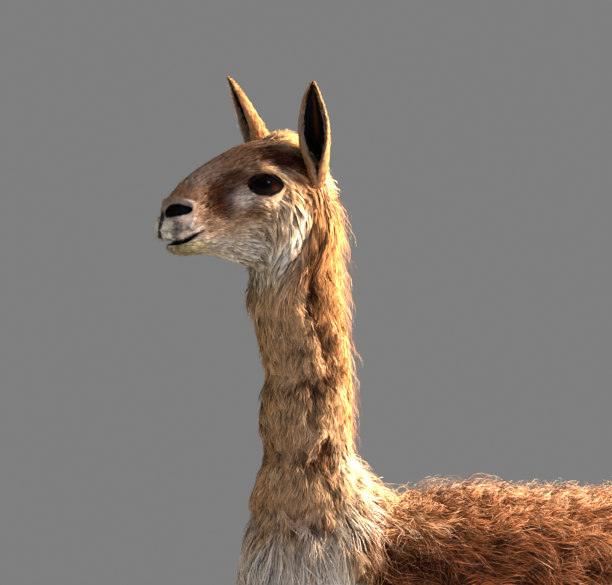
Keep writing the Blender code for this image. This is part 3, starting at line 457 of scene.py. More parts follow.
def face_relief(points, centres):
    """Moves face points: strokes rise outwards, the chin is set back, the mouth and nostrils
    are pressed in, and the cleft is cut."""
    out = unit(points - centres)
    folded = mirrored(points)
    lift = np.zeros(points.shape[:-1])
    for path, radius, rise in STROKES:
        lift += rise * np.exp(-((stroke_gap(folded, path) / radius) ** 2))
    lift -= 0.0045 * np.exp(-((stroke_gap(folded, CLEFT) / 0.0028) ** 2))
    rest = points + out * lift[..., None]
    moved = rest.copy()
    share, front = mouth_share(moved)
    below = front & (share < 1.0)
    chin_x = np.interp(moved[..., 2], CHIN[:, 0], CHIN[:, 1]) + (moved[..., 1] / 0.020) ** 2 * 0.006
    ahead = np.maximum(chin_x - moved[..., 0], 0.0) * below
    moved[..., 0] += ahead * 0.93
    inside = front * smooth(share, -0.04, 0.20) * smooth(-share, -1.04, -0.80)
    near_corner = smooth(-moved[..., 0], 0.1640, 0.1900)
    moved[..., 1] *= 1 - (0.10 + 0.50 * near_corner) * inside
    moved[..., 0] += 0.010 * inside * near_corner
    hollow = smooth(-nostril_share(points), -1.10, -0.55)
    side = np.sign(points[..., 1])
    moved[..., 0] += 0.0085 * hollow
    moved[..., 1] -= 0.0052 * hollow * side
    return moved, rest


def eye_frame(side):
    """The eye's middle, and the directions along the head, out and up, as rows."""
    turn = Matrix.Rotation(side * EYE_TURN_FORWARD, 3, "Z") @ Matrix.Rotation(side * EYE_TILT_UP, 3, "X")
    axes = np.array(turn).T
    axes[1] *= side
    return np.array((EYE_CENTRE[0], EYE_CENTRE[1] * side, EYE_CENTRE[2])), axes


def eye_local(points, side):
    """Along, out and up of each point from the eye's middle."""
    middle, axes = eye_frame(side)
    return (points - middle) @ axes.T


def almond(angles):
    """The rim of the opening, from its own middle: a lozenge with soft corners, |cos|^c and
    |sin|^1.5, c 2.1 in front and 1.7 behind, its top a little forward, its bottom a little back."""
    cosine, sine = np.cos(angles), np.sin(angles)
    steep = np.sign(sine) * np.abs(sine) ** 1.5
    level = np.sign(cosine) * np.abs(cosine) ** np.where(cosine < 0, 2.1, 1.7)
    up = np.where(sine > 0, OPENING_RISE, OPENING_DROP) * steep
    return OPENING_HALF_LONG * level - 0.0032 * steep, up - 0.0010 * level


def eye_gap(points, side):
    """Distance out from the rim of the opening, in the eye's plane. It is negative inside."""
    local = eye_local(points, side)
    along, up = almond(RIM_ANGLES)
    bearing = np.unwrap(np.arctan2(up, along))
    reach = np.hypot(along, up)
    order = np.argsort(bearing % TAU)
    here = np.arctan2(local[..., 2], local[..., 0] - OPENING_SHIFT) % TAU
    rim = np.interp(here, (bearing % TAU)[order], reach[order], period=TAU)
    gap = np.hypot(local[..., 0] - OPENING_SHIFT, local[..., 2]) - rim
    return np.where(local[..., 1] > -0.004, gap, 1.0)


def both_eyes_gap(points):
    return np.minimum(eye_gap(points, -1.0), eye_gap(points, 1.0))


def sink_eyes(points):
    """Presses the skin in behind each eye and its lids."""
    moved = points.copy()
    for side in SIDES.values():
        _, axes = eye_frame(side)
        depth = 0.013 * smooth(-eye_gap(points, side), -0.0120, -0.0080)
        moved -= axes[1] * depth[..., None]
    return moved


class Sheet:
    """A closed tube kept as a grid of points, read anywhere by mixing the four nearest."""

    def __init__(self, lines, points, patch, rest=None):
        self.lines = np.asarray(lines, float)
        self.points = points
        self.rest = points if rest is None else rest
        self.patch = patch
        self.count = points.shape[1]
        step = TAU / self.count
        across = (np.roll(points, -1, 1) - np.roll(points, 1, 1)) / (2 * step)
        along = np.gradient(points, self.lines, axis=0)
        normal = unit(np.cross(across, along))
        centre = points.mean(axis=1, keepdims=True)
        turned = np.sign(((points - centre) * normal).sum(axis=-1).mean())
        self.normal = normal * turned
        self.table = np.concatenate((points, self.normal, along, across, self.rest), axis=2)
        lengths = np.linalg.norm(np.diff(centre[:, 0], axis=0), axis=1)
        self.travel = np.concatenate(([0.0], np.cumsum(lengths)))
        self.area = np.linalg.norm(np.cross(along, across), axis=2)

    def mark(self, place, turn):
        """Where a point lay before hollows were pressed in, for its markings."""
        return self.blend(place, turn)[:, 12:15]

    def read(self, place, turn):
        """Point, outward direction, and the change of the point with line and with turn."""
        found = self.blend(place, turn)
        return found[:, 0:3], unit(found[:, 3:6]), found[:, 6:9], found[:, 9:12]

    def blend(self, place, turn):
        """The table's row for a place and a turn, mixed from the four nearest."""
        place = np.clip(place, self.lines[0], self.lines[-1])
        row = np.clip(np.searchsorted(self.lines, place) - 1, 0, len(self.lines) - 2)
        low = self.lines[row]
        share = ((place - low) / (self.lines[row + 1] - low))[:, None]
        column = (turn / TAU * self.count) % self.count
        first = column.astype(int) % self.count
        part = (column - np.floor(column))[:, None]
        after = (first + 1) % self.count
        table = self.table
        near = table[row, first] * (1 - part) + table[row, after] * part
        far = table[row + 1, first] * (1 - part) + table[row + 1, after] * part
        return near * (1 - share) + far * share

    def unwrap(self, place, turn):
        """The place of a point on the flat layout: turn across, travelled length up."""
        left, low, wide, high = self.patch
        travelled = np.interp(place, self.lines, self.travel) / self.travel[-1]
        return np.stack((left + wide * (turn / TAU % 1.0), low + high * travelled), axis=-1)

    def scatter(self, density, rng, first=-math.inf, last=math.inf):
        """Random roots between two lines, so many to the square metre as density says."""
        cell = self.area[:-1] * np.diff(self.lines)[:, None] * (TAU / self.count)
        within = (self.lines[:-1] >= first) & (self.lines[:-1] < last)
        wanted = cell * np.where(within[:, None], density, 0.0)
        number = np.floor(wanted + rng.random(wanted.shape)).astype(int)
        row, column = np.nonzero(number)
        row, column = (np.repeat(index, number[row, column]) for index in (row, column))
        gap = self.lines[row + 1] - self.lines[row]
        place = self.lines[row] + gap * rng.random(len(row))
        turn = (column + rng.random(len(row))) * (TAU / self.count)
        return place, turn


def tube_faces(rows, sides, patch, lines_share):
    """Quads and end fans of a closed tube, with the unwrap of each corner."""
    ring = np.arange(rows - 1)[:, None]
    side = np.arange(sides)[None, :]
    after = (side + 1) % sides
    low, high = ring * sides, (ring + 1) * sides
    quads = np.stack(np.broadcast_arrays(low + side, low + after, high + after, high + side), -1)
    quads = quads.reshape(-1, 4)
    left, floor, wide, tall = patch
    u = np.stack(np.broadcast_arrays(side, side + 1, side + 1, side), -1) / sides
    v = np.stack(np.broadcast_arrays(
        lines_share[ring], lines_share[ring], lines_share[ring + 1], lines_share[ring + 1]), -1)
    u, v = np.broadcast_arrays(u + 0.0 * v, v + 0.0 * u)
    quad_uv = np.stack((left + wide * u, floor + tall * v), -1).reshape(-1, 2)
    first, last = rows * sides, rows * sides + 1
    end = (rows - 1) * sides
    side, after = side[0], after[0]
    fans = np.concatenate((
        np.stack((after, side, np.full(sides, first)), -1),
        np.stack((end + side, end + after, np.full(sides, last)), -1),
    ))
    u0, u1, um = side / sides, (side + 1) / sides, (side + 0.5) / sides
    fan_u = np.concatenate((np.stack((u1, u0, um), -1), np.stack((u0, u1, um), -1)))
    fan_v = np.concatenate((np.zeros((sides, 3)), np.ones((sides, 3))))
    fan_uv = np.stack((left + wide * fan_u, floor + tall * fan_v), -1).reshape(-1, 2)
    return quads, quad_uv, fans, fan_uv


def tube_mesh(sheet):
    """Points, faces by their number of corners, and corner unwraps of a whole sheet."""
    points = sheet.points
    rows, sides = points.shape[:2]
    all_points = np.vstack((points.reshape(-1, 3), points[0].mean(axis=0), points[-1].mean(axis=0)))
    share = sheet.travel / sheet.travel[-1]
    quads, quad_uv, fans, fan_uv = tube_faces(rows, sides, sheet.patch, share)
    ring = sheet.points[:, 1] - sheet.points[:, 0]
    run = np.gradient(sheet.points[:, 0], axis=0)
    facing = (np.cross(ring, run) * sheet.normal[:, 0]).sum(axis=1).mean()
    if facing < 0:
        quads, fans = quads[:, ::-1], fans[:, ::-1]
        quad_uv = quad_uv.reshape(-1, 4, 2)[:, ::-1].reshape(-1, 2)
        fan_uv = fan_uv.reshape(-1, 3, 2)[:, ::-1].reshape(-1, 2)
    return all_points, [(quads, quad_uv), (fans, fan_uv)]


def new_piece(name, points, face_sets, colours, finish, normals=None):
    """One mesh object from arrays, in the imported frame, that rides on the root body."""
    mesh = bpy.data.meshes.new(name)
    points = np.asarray(points) + SHIFT
    corners = np.concatenate([faces.reshape(-1) for faces, _ in face_sets])
    sizes = np.concatenate([np.full(len(faces), faces.shape[1]) for faces, _ in face_sets])
    mesh.vertices.add(len(points))
    mesh.vertices.foreach_set("co", points.astype(np.float32).ravel())
    mesh.loops.add(len(corners))
    mesh.loops.foreach_set("vertex_index", corners.astype(np.int32))
    mesh.polygons.add(len(sizes))
    starts = np.concatenate(([0], np.cumsum(sizes)[:-1]))
    mesh.polygons.foreach_set("loop_start", starts.astype(np.int32))
    mesh.polygons.foreach_set("use_smooth", np.ones(len(sizes), bool))
    mesh.update(calc_edges=True)
    layer = mesh.uv_layers.new(name="OFBake")
    uvs = np.concatenate([uv for _, uv in face_sets])
    layer.data.foreach_set("uv", uvs.astype(np.float32).ravel())
    if colours is not None:
        tint = mesh.color_attributes.new(name="coat_colour", type="FLOAT_COLOR", domain="POINT")
        if colours.shape[1] == 3:
            colours = np.hstack((colours, np.ones((len(colours), 1))))
        tint.data.foreach_set("color", colours.astype(np.float32).ravel())
    if normals is not None:
        mesh.normals_split_custom_set_from_vertices(normals.astype(np.float32))
    mesh.materials.append(finish)
    thing = bpy.data.objects.new(name, mesh)
    bpy.context.scene.collection.objects.link(thing)
    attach(thing, "root")
    return thing


def add(tree, kind, sources=(), **values):
    """A new node, with values by the names of its sockets and with its sources wired in. Each
    source is a socket's name, a node and the name of that node's output."""
    node = tree.nodes.new("ShaderNode" + kind)
    for name, value in values.items():
        node.inputs[name.replace("_", " ")].default_value = value
    for socket, source, output in sources:
        tree.links.new(source.outputs[output], node.inputs[socket])
    return node


def new_finish(name, **values):
    """A material with values set on its shader. Returns also its tree, shader and coordinates."""
    finish = bpy.data.materials.new(name)
    finish.use_nodes = True
    tree = finish.node_tree
    shader = tree.nodes["Principled BSDF"]
    for socket, value in values.items():
        shader.inputs[socket.replace("_", " ")].default_value = value
    return finish, tree, shader, add(tree, "TexCoord")


def dapple(tree, shader, place, noise, spread):
    """Wires the attribute colour times a noise, spread over a range, to the base colour. Returns
    the node of the attribute."""
    tint = add(tree, "Attribute")
    tint.attribute_name = "coat_colour"
    speckle = add(tree, "TexNoise", [("Vector", place, "Object")], **noise)
    share = add(tree, "MapRange", [("Value", speckle, "Fac")], **spread)
    shade = tree.nodes.new("ShaderNodeVectorMath")
    shade.operation = "SCALE"
    tree.links.new(tint.outputs["Color"], shade.inputs["Vector"])
    tree.links.new(share.outputs["Result"], shade.inputs["Scale"])
    tree.links.new(shade.outputs["Vector"], shader.inputs["Base Color"])
    return tint


def coat_material(name, roughness, sheen, bump):
    """Attribute colour, dappled by noise, with alpha as dryness, and a fine bump if wanted."""
    finish, tree, shader, place = new_finish(
        name, Sheen_Weight=sheen, Sheen_Roughness=0.45, Sheen_Tint=(1.0, 0.66, 0.40, 1.0),
        Specular_IOR_Level=0.06)
    spread = {"From_Min": 0.3, "From_Max": 0.7, "To_Min": 0.84, "To_Max": 1.14}
    tint = dapple(tree, shader, place, {"Scale": 170.0, "Detail": 3.0}, spread)
    dry = add(tree, "MapRange", [("Value", tint, "Alpha")], To_Min=0.16, To_Max=roughness)
    tree.links.new(dry.outputs["Result"], shader.inputs["Roughness"])
    if bump:
        grain = add(tree, "TexNoise", [("Vector", place, "Object")], Scale=900.0, Detail=2.0)
        relief = add(tree, "Bump", [("Height", grain, "Fac")], Strength=bump, Distance=0.0006)
        tree.links.new(relief.outputs["Normal"], shader.inputs["Normal"])
    return finish


def eye_material():
    """Near-black brown, wet and mirror smooth, flecked by a fine noise."""
    finish, tree, shader, place = new_finish("eye_wet", Roughness=0.03, Specular_IOR_Level=0.07)
    dapple(tree, shader, place, {"Scale": 420.0}, {"To_Min": 0.6, "To_Max": 1.4})
    return finish


def nail_material():
    """Dark horn with fine growth lines across it."""
    finish, tree, shader, place = new_finish("nail_horn")
    stretch = add(tree, "Mapping", [("Vector", place, "Object")], Scale=(1.0, 0.15, 0.35))
    lines = add(tree, "TexNoise", [("Vector", stretch, "Vector")], Scale=700.0, Detail=4.0)
    ramp = add(tree, "ValToRGB", [("Fac", lines, "Fac")])
    ramp.color_ramp.elements[0].color = (0.018, 0.014, 0.012, 1)
    ramp.color_ramp.elements[1].color = (0.10, 0.078, 0.062, 1)
    dry = add(tree, "MapRange", [("Value", lines, "Fac")], To_Min=0.34, To_Max=0.55)
    relief = add(tree, "Bump", [("Height", lines, "Fac")], Strength=0.35, Distance=0.0004)
    for source, output, socket in (
        (ramp, "Color", "Base Color"), (dry, "Result", "Roughness"), (relief, "Normal", "Normal"),
    ):
        tree.links.new(source.outputs[output], shader.inputs[socket])
    return finish


def floor_material(colour):
    """Matte, a little uneven in tone, and clear from some metres out."""
    finish, tree, shader, place = new_finish("floor_matte", Roughness=0.85)
    grain = add(tree, "TexNoise", [("Vector", place, "Object")], Scale=3.0)
    ramp = add(tree, "ValToRGB", [("Fac", grain, "Fac")])
    base = np.array(colour)
    ramp.color_ramp.elements[0].color = (*(base * 0.97), 1)
    ramp.color_ramp.elements[1].color = (*np.minimum(base * 1.03, 1), 1)
    reach = tree.nodes.new("ShaderNodeVectorMath")
    reach.operation = "LENGTH"
    tree.links.new(place.outputs["Object"], reach.inputs["Vector"])
    fade = add(tree, "MapRange", [("Value", reach, "Value")], From_Min=FLOOR_FADE[0],
               From_Max=FLOOR_FADE[1], To_Min=1.0, To_Max=0.0)
    fade.interpolation_type = "SMOOTHSTEP"
    tree.links.new(ramp.outputs["Color"], shader.inputs["Base Color"])
    tree.links.new(fade.outputs["Result"], shader.inputs["Alpha"])
    return finish


# The flat layout: left, low, width, height of each sheet's place
PATCHES = {"trunk": (0.0, 0.0, 0.50, 1.0), "tail": (0.93, 0.0, 0.06, 0.30)}
for number, limb in enumerate(("fore_left", "fore_right", "hind_left", "hind_right")):
    PATCHES[limb] = (0.51 + 0.08 * number, 0.0, 0.07, 0.62)
    PATCHES[f"{limb}_toe_inner"] = (0.51 + 0.08 * number, 0.64, 0.034, 0.12)
    PATCHES[f"{limb}_toe_outer"] = (0.546 + 0.08 * number, 0.64, 0.034, 0.12)
PATCHES["ear_left"] = (0.51, 0.78, 0.15, 0.20)
PATCHES["ear_right"] = (0.67, 0.78, 0.15, 0.20)
PATCHES["lids_left"] = (0.83, 0.78, 0.07, 0.09)
PATCHES["lids_right"] = (0.91, 0.78, 0.07, 0.09)


def trunk_sheet(with_eyes):
    """The trunk's skin, with its lines closest at the muzzle and the face."""
    lines = np.concatenate((
        np.arange(0.0, 0.9, 0.06), np.arange(0.9, 4.0, 0.075), np.arange(4.0, 12.0, 0.075),
        np.arange(12.0, 20.0, 0.085), np.arange(20.0, 30.4, 0.12), np.arange(30.4, 31.01, 0.06),
    ))
    inset = np.interp(lines, SKIN_DEPTH[:, 0], SKIN_DEPTH[:, 1])
    points = rings(TRUNK, lines, around(TRUNK_TURNS), inset)
    head = lines < HEAD_END
    face = push_forms(points[head])
    centres = np.broadcast_to(face.mean(axis=1, keepdims=True), face.shape)
    rest = points.copy()
    face, rest[head] = face_relief(face, centres)
    if with_eyes:
        face = sink_eyes(face)
    points[head] = face
    out = unit(points - points.mean(axis=1, keepdims=True))
    points -= out * (CREASE_DEPTH * crease(rest, side_share(around(TRUNK_TURNS)))[..., None])
    lumps = ripple(rest, 0.050, 33) * np.interp(lines, (20.0, 22.0, 30.0, 31.0), (0, 1, 1, 0))[:, None]
    points += out * (FLEECE_LUMPS * lumps)[..., None]
    return Sheet(lines, points, PATCHES["trunk"], rest)


def leg_sheet(kind, where):
    """The skin of one leg, a little fuller at the knee or hock."""
    rows = (FORELEG if kind == "fore" else HINDLEG).copy()
    rows[:, 7] *= SIDES[where]
    lines = np.arange(0.0, len(rows) - 0.99, 0.11)
    inset = np.interp(lines, (0, 3, 10), (0.010, 0.004, 0.002))
    points = rings(rows, lines, around(LEG_TURNS), inset)
    tone = 0.0012 * np.exp(-((lines - 5.0) / 0.5) ** 2)
    centre = points.mean(axis=1, keepdims=True)
    points += unit(points - centre) * tone[:, None, None]
    return Sheet(lines, points, PATCHES[f"{kind}_{where}"])


def toe_sheet(kind, where, order):
    """A toe whose sections are cosines cut flat at the floor."""
    side = SIDES[where]
    spread = side if order == "outer" else -side
    ankle_x, ankle_side = (FORE_FOOT_X, FORE_SIDE) if kind == "fore" else (HIND_FOOT_X, HIND_SIDE)
    lines = np.linspace(0, len(TOE) - 1, 34)
    x, top, half = through(TOE, lines).T
    angles = around(TOE_TURNS)
    middle = ankle_side * side + spread * TOE_SPREAD
    grid = np.stack((
        np.broadcast_to((ankle_x + x)[:, None], (len(lines), len(angles))),
        middle + (half - 0.0012)[:, None] * np.sin(angles),
        ((top - SOLE_CUT) / 2)[:, None] + ((top + SOLE_CUT) / 2 - 0.0010)[:, None] * np.cos(angles),
    ), axis=2)
    grid[..., 2] = np.maximum(grid[..., 2], 0.0)
    return Sheet(lines, grid, PATCHES[f"{kind}_{where}_toe_{order}"])


def tail_sheet():
    lines = np.linspace(0, len(TAIL) - 1, 44)
    return Sheet(lines, rings(TAIL, lines, around(TAIL_TURNS), 0.010), PATCHES["tail"])


def ear_sheet(where):
    """A lance-shaped leaf rolled into a cup, its outer and inner walls joined at the rims.

    At each share of the length a section bends by roll, wide across and deep behind the axis.
    """
    side = SIDES[where]
    tip, face_out = EARS[where]
    face_out = math.radians(face_out)
    root = np.array((EAR_ROOT[0], EAR_ROOT[1] * side, EAR_ROOT[2]))
    tip = np.array((tip[0], tip[1] * side, tip[2]))
    axis = unit(tip - root)
    length = np.linalg.norm(tip - root)
    facing = np.array((-math.cos(face_out), math.sin(face_out) * side, 0.0))
    facing = unit(facing - axis * (facing @ axis))
    across = np.cross(axis, facing)
    share = np.linspace(-0.20, 1.0, 58)
    count = 30
    turn = np.concatenate((np.linspace(-1, 1, count), np.linspace(1, -1, count)))
    outer = np.concatenate((np.ones(count), -np.ones(count)))
    swell = np.sin(math.pi * np.minimum(1.0, 0.27 + 0.73 * share) ** 1.1)
    wide = EAR_HALF_WIDTH * np.maximum(swell, 0.0) ** 0.8 + 0.0012
    wide = wide * np.interp(share, (-0.2, 0.0, 0.15, 0.38, 0.6, 1.0), (0.50, 0.62, 0.68, 0.90, 0.98, 1.0))
    back = EAR_CUP_DEPTH * (1 - share) ** 0.7 + 0.001
    deep = back * np.interp(share, (-0.2, 0.0, 0.10, 0.30), (0.38, 0.58, 0.78, 1.0))
    roll = np.radians(np.interp(share, (-0.2, 0.05, 0.15, 0.30, 0.50, 1.0), (177, 173, 158, 132, 112, 78)))
    lean = np.interp(
        share, (-0.2, 0.0, 0.14, 0.36, 0.60, 0.85, 1.0),
        (0.004, 0.006, 0.0055, 0.001, -0.001, -0.002, 0.0))
    wall = EAR_WALL / 2 * outer[None, :] * (1 - 0.75 * np.abs(turn[None, :]) ** 6)
    wall = wall * np.minimum(1.0, (wide / 0.008))[:, None]
    bend = roll[:, None] * turn[None, :]
    along = root + axis * (length * share)[:, None]
    grid = (
        along[:, None, :]
        + across * ((wide[:, None] + wall) * np.sin(bend) - (side * lean)[:, None])[..., None]
        - facing * ((back - deep)[:, None] + (deep[:, None] + wall) * np.cos(bend))[..., None]
    )
    grid[..., 1] += (-0.010 * np.maximum(share, 0.0) ** 3 * side)[:, None]
    return Sheet(share, grid, PATCHES[f"ear_{where}"])


def lid_grid(side, base):
    """Both lids of one eye: rings from the eyeball out to the skin. The skin's height over the
    eye's plane is a fourth-degree polynomial fitted to the skin round the eye."""
    local = eye_local(base.reshape(-1, 3), side)
    near = (np.abs(local[:, 0]) < 0.052) & (np.abs(local[:, 2]) < 0.036) & (local[:, 1] > -0.02)
    along, out, up = local[near].T

    def terms(u, v):
        return np.stack([u**i * v**j for i in range(5) for j in range(5 - i)], -1)

    fitted = np.linalg.lstsq(terms(along * 30, up * 30), out, rcond=None)[0]
    count = 96
    angles = around(count)
    rim_along, rim_up = almond(angles)
    gaps = np.array((-18, -6, 0, 6, 13, 22, 34, 48, 64, 82, 102, 124, 150))[:, None] * 1e-4
    shares = 1 + gaps / np.hypot(rim_along, rim_up)
    rise = np.array((-0.0012, 0.0002, 0.0010, 0.0019, 0.0023, 0.0021, 0.0016, 0.0011, 0.0007, 0.0006,
                     0.0004, 0.0000, -0.0022))
    skin_part = np.array((0.0, 0.0, 0.0, 0.05, 0.16, 0.34, 0.55, 0.75, 0.90, 0.97, 1.0, 1.0, 1.0))
    upper = smooth(np.sin(angles), -0.2, 0.5)
    u = shares * rim_along + OPENING_SHIFT
    v = shares * rim_up
    long, high, deep = BALL_HALF_SIZE
    ball = deep * np.sqrt(np.maximum(1 - ((u - BALL_SHIFT) / long) ** 2 - (v / high) ** 2, 0.02))
    skin = terms(u * 30, v * 30) @ fitted
    fold = -0.0014 * np.exp(-((gaps - 0.0058) / 0.0014) ** 2) * upper
    pouch = 0.0008 * np.exp(-((gaps - 0.0070) / 0.0022) ** 2) * (1 - upper)
    w = ball * (1 - skin_part[:, None]) + skin * skin_part[:, None]
    w = w + rise[:, None] * (0.8 + 0.35 * upper) + fold + pouch
    middle, axes = eye_frame(side)
    grid = middle + u[..., None] * axes[0] + w[..., None] * axes[1] + v[..., None] * axes[2]
    return grid, gaps[:, 0]


def side_share(turn):
    """0 along the back, 1 along the throat and belly."""
    return np.abs((turn + math.pi) % TAU - math.pi) / math.pi


def face_colour(p):
    """Markings of the head from places on it, with painted shade in its creases, slits and round the eyes,
    and painted light on the brow and crown. The last column is dryness.
    """
    q = mirrored(p)
    x, y, z = q[:, 0], q[:, 1], q[:, 2]

    def spot(middle, radius):
        away = (q - np.array(middle)) / np.asarray(radius)
        return np.exp(-(away**2).sum(axis=1))

    def core(middle, radius):
        edge = 0.17 * ripple(p * np.array((0.5, 1.0, 1.0)), 0.004, 17)
        return smooth(spot(middle, radius) + edge, 0.16, 0.62)

    def line(path, radius):
        return np.exp(-((stroke_gap(q, path) / radius) ** 2))

    wave = ripple(p, 0.022, 5)
    top = np.interp(x, (-0.23, -0.16, -0.05, 0.03), (1.232, 1.262, 1.305, 1.262))
    drop = top - z + wave * 0.004
    # The head starts from grey-brown with painted cool shade
    c = np.tile(np.array(MAUVE_AND_COOL_SHADE), (len(p), 1))
    c = mix(c, TAN, 0.45 * smooth(drop, 0.006, 0.030))
    c = mix(c, BUFF, 0.75 * smooth(drop, 0.052, 0.074) * smooth(x, -0.20, -0.12))
    c = mix(c, CREAM, 0.85 * smooth(drop, 0.072, 0.100) * smooth(x, -0.19, -0.13))
    c = mix(c, CREAM, 0.55 * smooth(x, -0.105, -0.070) * smooth(drop, 0.052, 0.080))
    c = mix(c, WHITE, 0.60 * smooth(drop, 0.104, 0.128) * smooth(-x, 0.030, 0.060))
    c = mix(c, WHITE, 0.50 * smooth(-z, -1.186, -1.172) * smooth(-x, 0.035, 0.060))
    c = mix(c, THROAT, 0.60 * smooth(-z, -1.165, -1.130) * smooth(x, -0.120, -0.080))
    c = mix(c, FOREHEAD, 0.90 * spot((-0.105, 0.018, 1.288), (0.044, 0.034, 0.022)))
    c = mix(c, FOREHEAD, 0.60 * spot((-0.135, 0.030, 1.272), (0.026, 0.020, 0.012)))
    c = mix(c, PATCH_BROWN, 0.96 * core((-0.152, 0.034, 1.231), (0.025, 0.03, 0.027)))
    c = mix(c, PATCH_BROWN, 0.88 * core((-0.132, 0.036, 1.254), (0.020, 0.03, 0.013)))
    under_eye = line(((-0.166, 0.03, 1.214), (-0.137, 0.037, 1.205), (-0.104, 0.043, 1.213)), 0.0085)
    c = mix(c, PATCH_BROWN, 0.80 * smooth(under_eye + 0.10 * ripple(p, 0.006, 18), 0.2, 0.8))
    # Painted shadow of the brow over the front of the eye
    c = mix(c, PATCH_BROWN, 0.60 * line(((-0.124, 0.042, 1.262), (-0.104, 0.046, 1.268)), 0.0060))
    c = mix(c, BEIGE, 0.95 * spot((-0.121, 0.040, 1.230), (0.0135, 0.03, 0.0115)))
    c = mix(c, CREAM, 0.70 * line(((-0.094, 0.047, 1.2265), (-0.066, 0.049, 1.2300)), 0.0055))
    c = mix(c, DEEP_BROWN, core((-0.058, 0.041, 1.287), (0.041, 0.028, 0.019)))
    c = mix(c, DEEP_BROWN, 0.95 * core((-0.030, 0.050, 1.270), (0.017, 0.03, 0.021)))
    c = mix(c, PATCH_BROWN, 0.6 * spot((-0.088, 0.038, 1.290), (0.022, 0.02, 0.010)))
    # Gold hair on the crown, brightened as painted backlight
    c = mix(c, CROWN_GOLD_AND_BACKLIGHT, smooth(x, -0.080, -0.040) * smooth(-y, -0.036, -0.018) * (drop < 0.03))
    c = mix(c, RUST, 0.85 * core((-0.036, 0.050, 1.246), (0.026, 0.030, 0.022)))
    c = mix(c, RUST, 0.80 * core((-0.004, 0.050, 1.236), (0.018, 0.030, 0.022)))
    c = mix(c, LIP, 0.85 * smooth(-x, 0.182, 0.194) * smooth(z, 1.192, 1.206))
    # Grey-brown with painted cool shade on the top of the nose
    c = mix(c, MAUVE_AND_COOL_SHADE, 0.85 * spot((-0.205, 0.006, 1.238), (0.026, 0.018, 0.014)))
    c = mix(c, FOREHEAD, 0.75 * spot((-0.200, 0.014, 1.236), (0.022, 0.020, 0.011)))
    c = mix(c, LIP, 0.70 * line(STROKES[0][0], 0.0050))
    # Painted shade in the crease above the nostril's wing
    c = mix(c, DEEP_BROWN, 0.95 * line(STROKES[1][0], 0.0042))
    c = mix(c, LIP, 0.95 * smooth(-x, 0.168, 0.184) * smooth(-z, -1.206, -1.192))
    c = mix(c, SMOKE, 0.80 * spot((-0.213, 0.016, 1.189), (0.014, 0.010, 0.0090)))
    c = mix(c, SMOKE, 0.75 * spot((-0.193, 0.026, 1.194), (0.019, 0.012, 0.0100)))
    c = mix(c, CHIN_BUFF, 0.9 * smooth(-x, 0.150, 0.180) * smooth(-z, -1.180, -1.170))
    c = mix(c, CREAM, 0.50 * spot((-0.177, 0.028, 1.1895), (0.010, 0.02, 0.0055)))
    c = mix(c, ORANGE, 0.30 * spot((-0.176, 0.028, 1.200), (0.010, 0.02, 0.007)))
    behind = line(((-0.014, 0.05, 1.222), (-0.024, 0.05, 1.180), (-0.044, 0.043, 1.140)), 0.0085)
    c = mix(c, CINNAMON, 0.85 * behind)
    c = mix(c, WHITE, 0.75 * line(
        ((-0.040, 0.05, 1.212), (-0.050, 0.05, 1.180), (-0.070, 0.04, 1.153)), 0.0065))
    # Pale brow stripe over the back of the eye, partly painted sunlight on the brow ridge
    brow = line(((-0.092, 0.048, 1.2670), (-0.074, 0.049, 1.2640),
                 (-0.054, 0.050, 1.2500), (-0.046, 0.050, 1.2370)), 0.0070)
    c = mix(c, PALE_BROW_AND_SUNLIGHT, 0.95 * smooth(brow, 0.15, 0.7))
    c = mix(c, WHITE, 0.9 * smooth(-x, 0.2160, 0.2215) * smooth(-z, -1.206, -1.196))
    streak = ripple(p * np.array((1.0, 1.0, 0.35)), 0.008, 9)
    c = c * (1 + 0.28 * streak * smooth(x, -0.15, -0.07) + 0.26 * ripple(p, 0.0035, 12))[:, None]
    strand = ripple(p * np.array((1.0, 1.0, 0.16)), 0.0030, 19)
    c = mix(c, RUST, 0.60 * smooth(strand, 0.2, 1.1) * smooth(x, -0.120, -0.090)
            * smooth(-z, -1.240, -1.215))
    dry = np.ones(len(p))
    share, front = mouth_share(p)
    # Painted shade: the slit between the lips painted black, fading towards the corner
    dark = front * smooth(share, -0.06, 0.10) * smooth(-share, -1.06, -0.94)
    dark = dark * (0.20 + 0.80 * smooth(-x, 0.1740, 0.1940))
    c = mix(c, BLACK, dark)
    # Painted shade: the nostril's opening painted black
    hole = smooth(-nostril_share(p), -1.16, -0.96)
    c = mix(c, BLACK, hole)
    seam = np.exp(-((stroke_gap(q, CLEFT) / 0.0056) ** 2)) * smooth(-x, 0.200, 0.208)
    c = mix(c, BLUE_BLACK, 0.95 * smooth(seam, 0.15, 0.7))
    dry -= 0.55 * np.maximum(np.maximum(dark, hole), smooth(seam, 0.15, 0.7))
    for side in SIDES.values():
        gap = eye_gap(p, side)
        # Painted shade: a brown band over the upper lid, under the brow
        c = mix(c, PATCH_BROWN, 0.75 * smooth(-gap, -0.0100, -0.0045) * smooth(z, 1.240, 1.252))
        c = mix(c, BLACK, smooth(-gap, -0.0040 - 0.0012 * smooth(z, 1.248, 1.256), -0.0026))
        local = eye_local(p, side)
        duct = spot((EYE_CENTRE[0] - 0.022, 0.042, EYE_CENTRE[2] + 0.0005), (0.005, 0.02, 0.0020))
        c = mix(c, DARK_BROWN, 0.8 * duct * (local[:, 1] > -0.01))
    return np.hstack((np.clip(c, 0.004, 0.95), dry[:, None]))


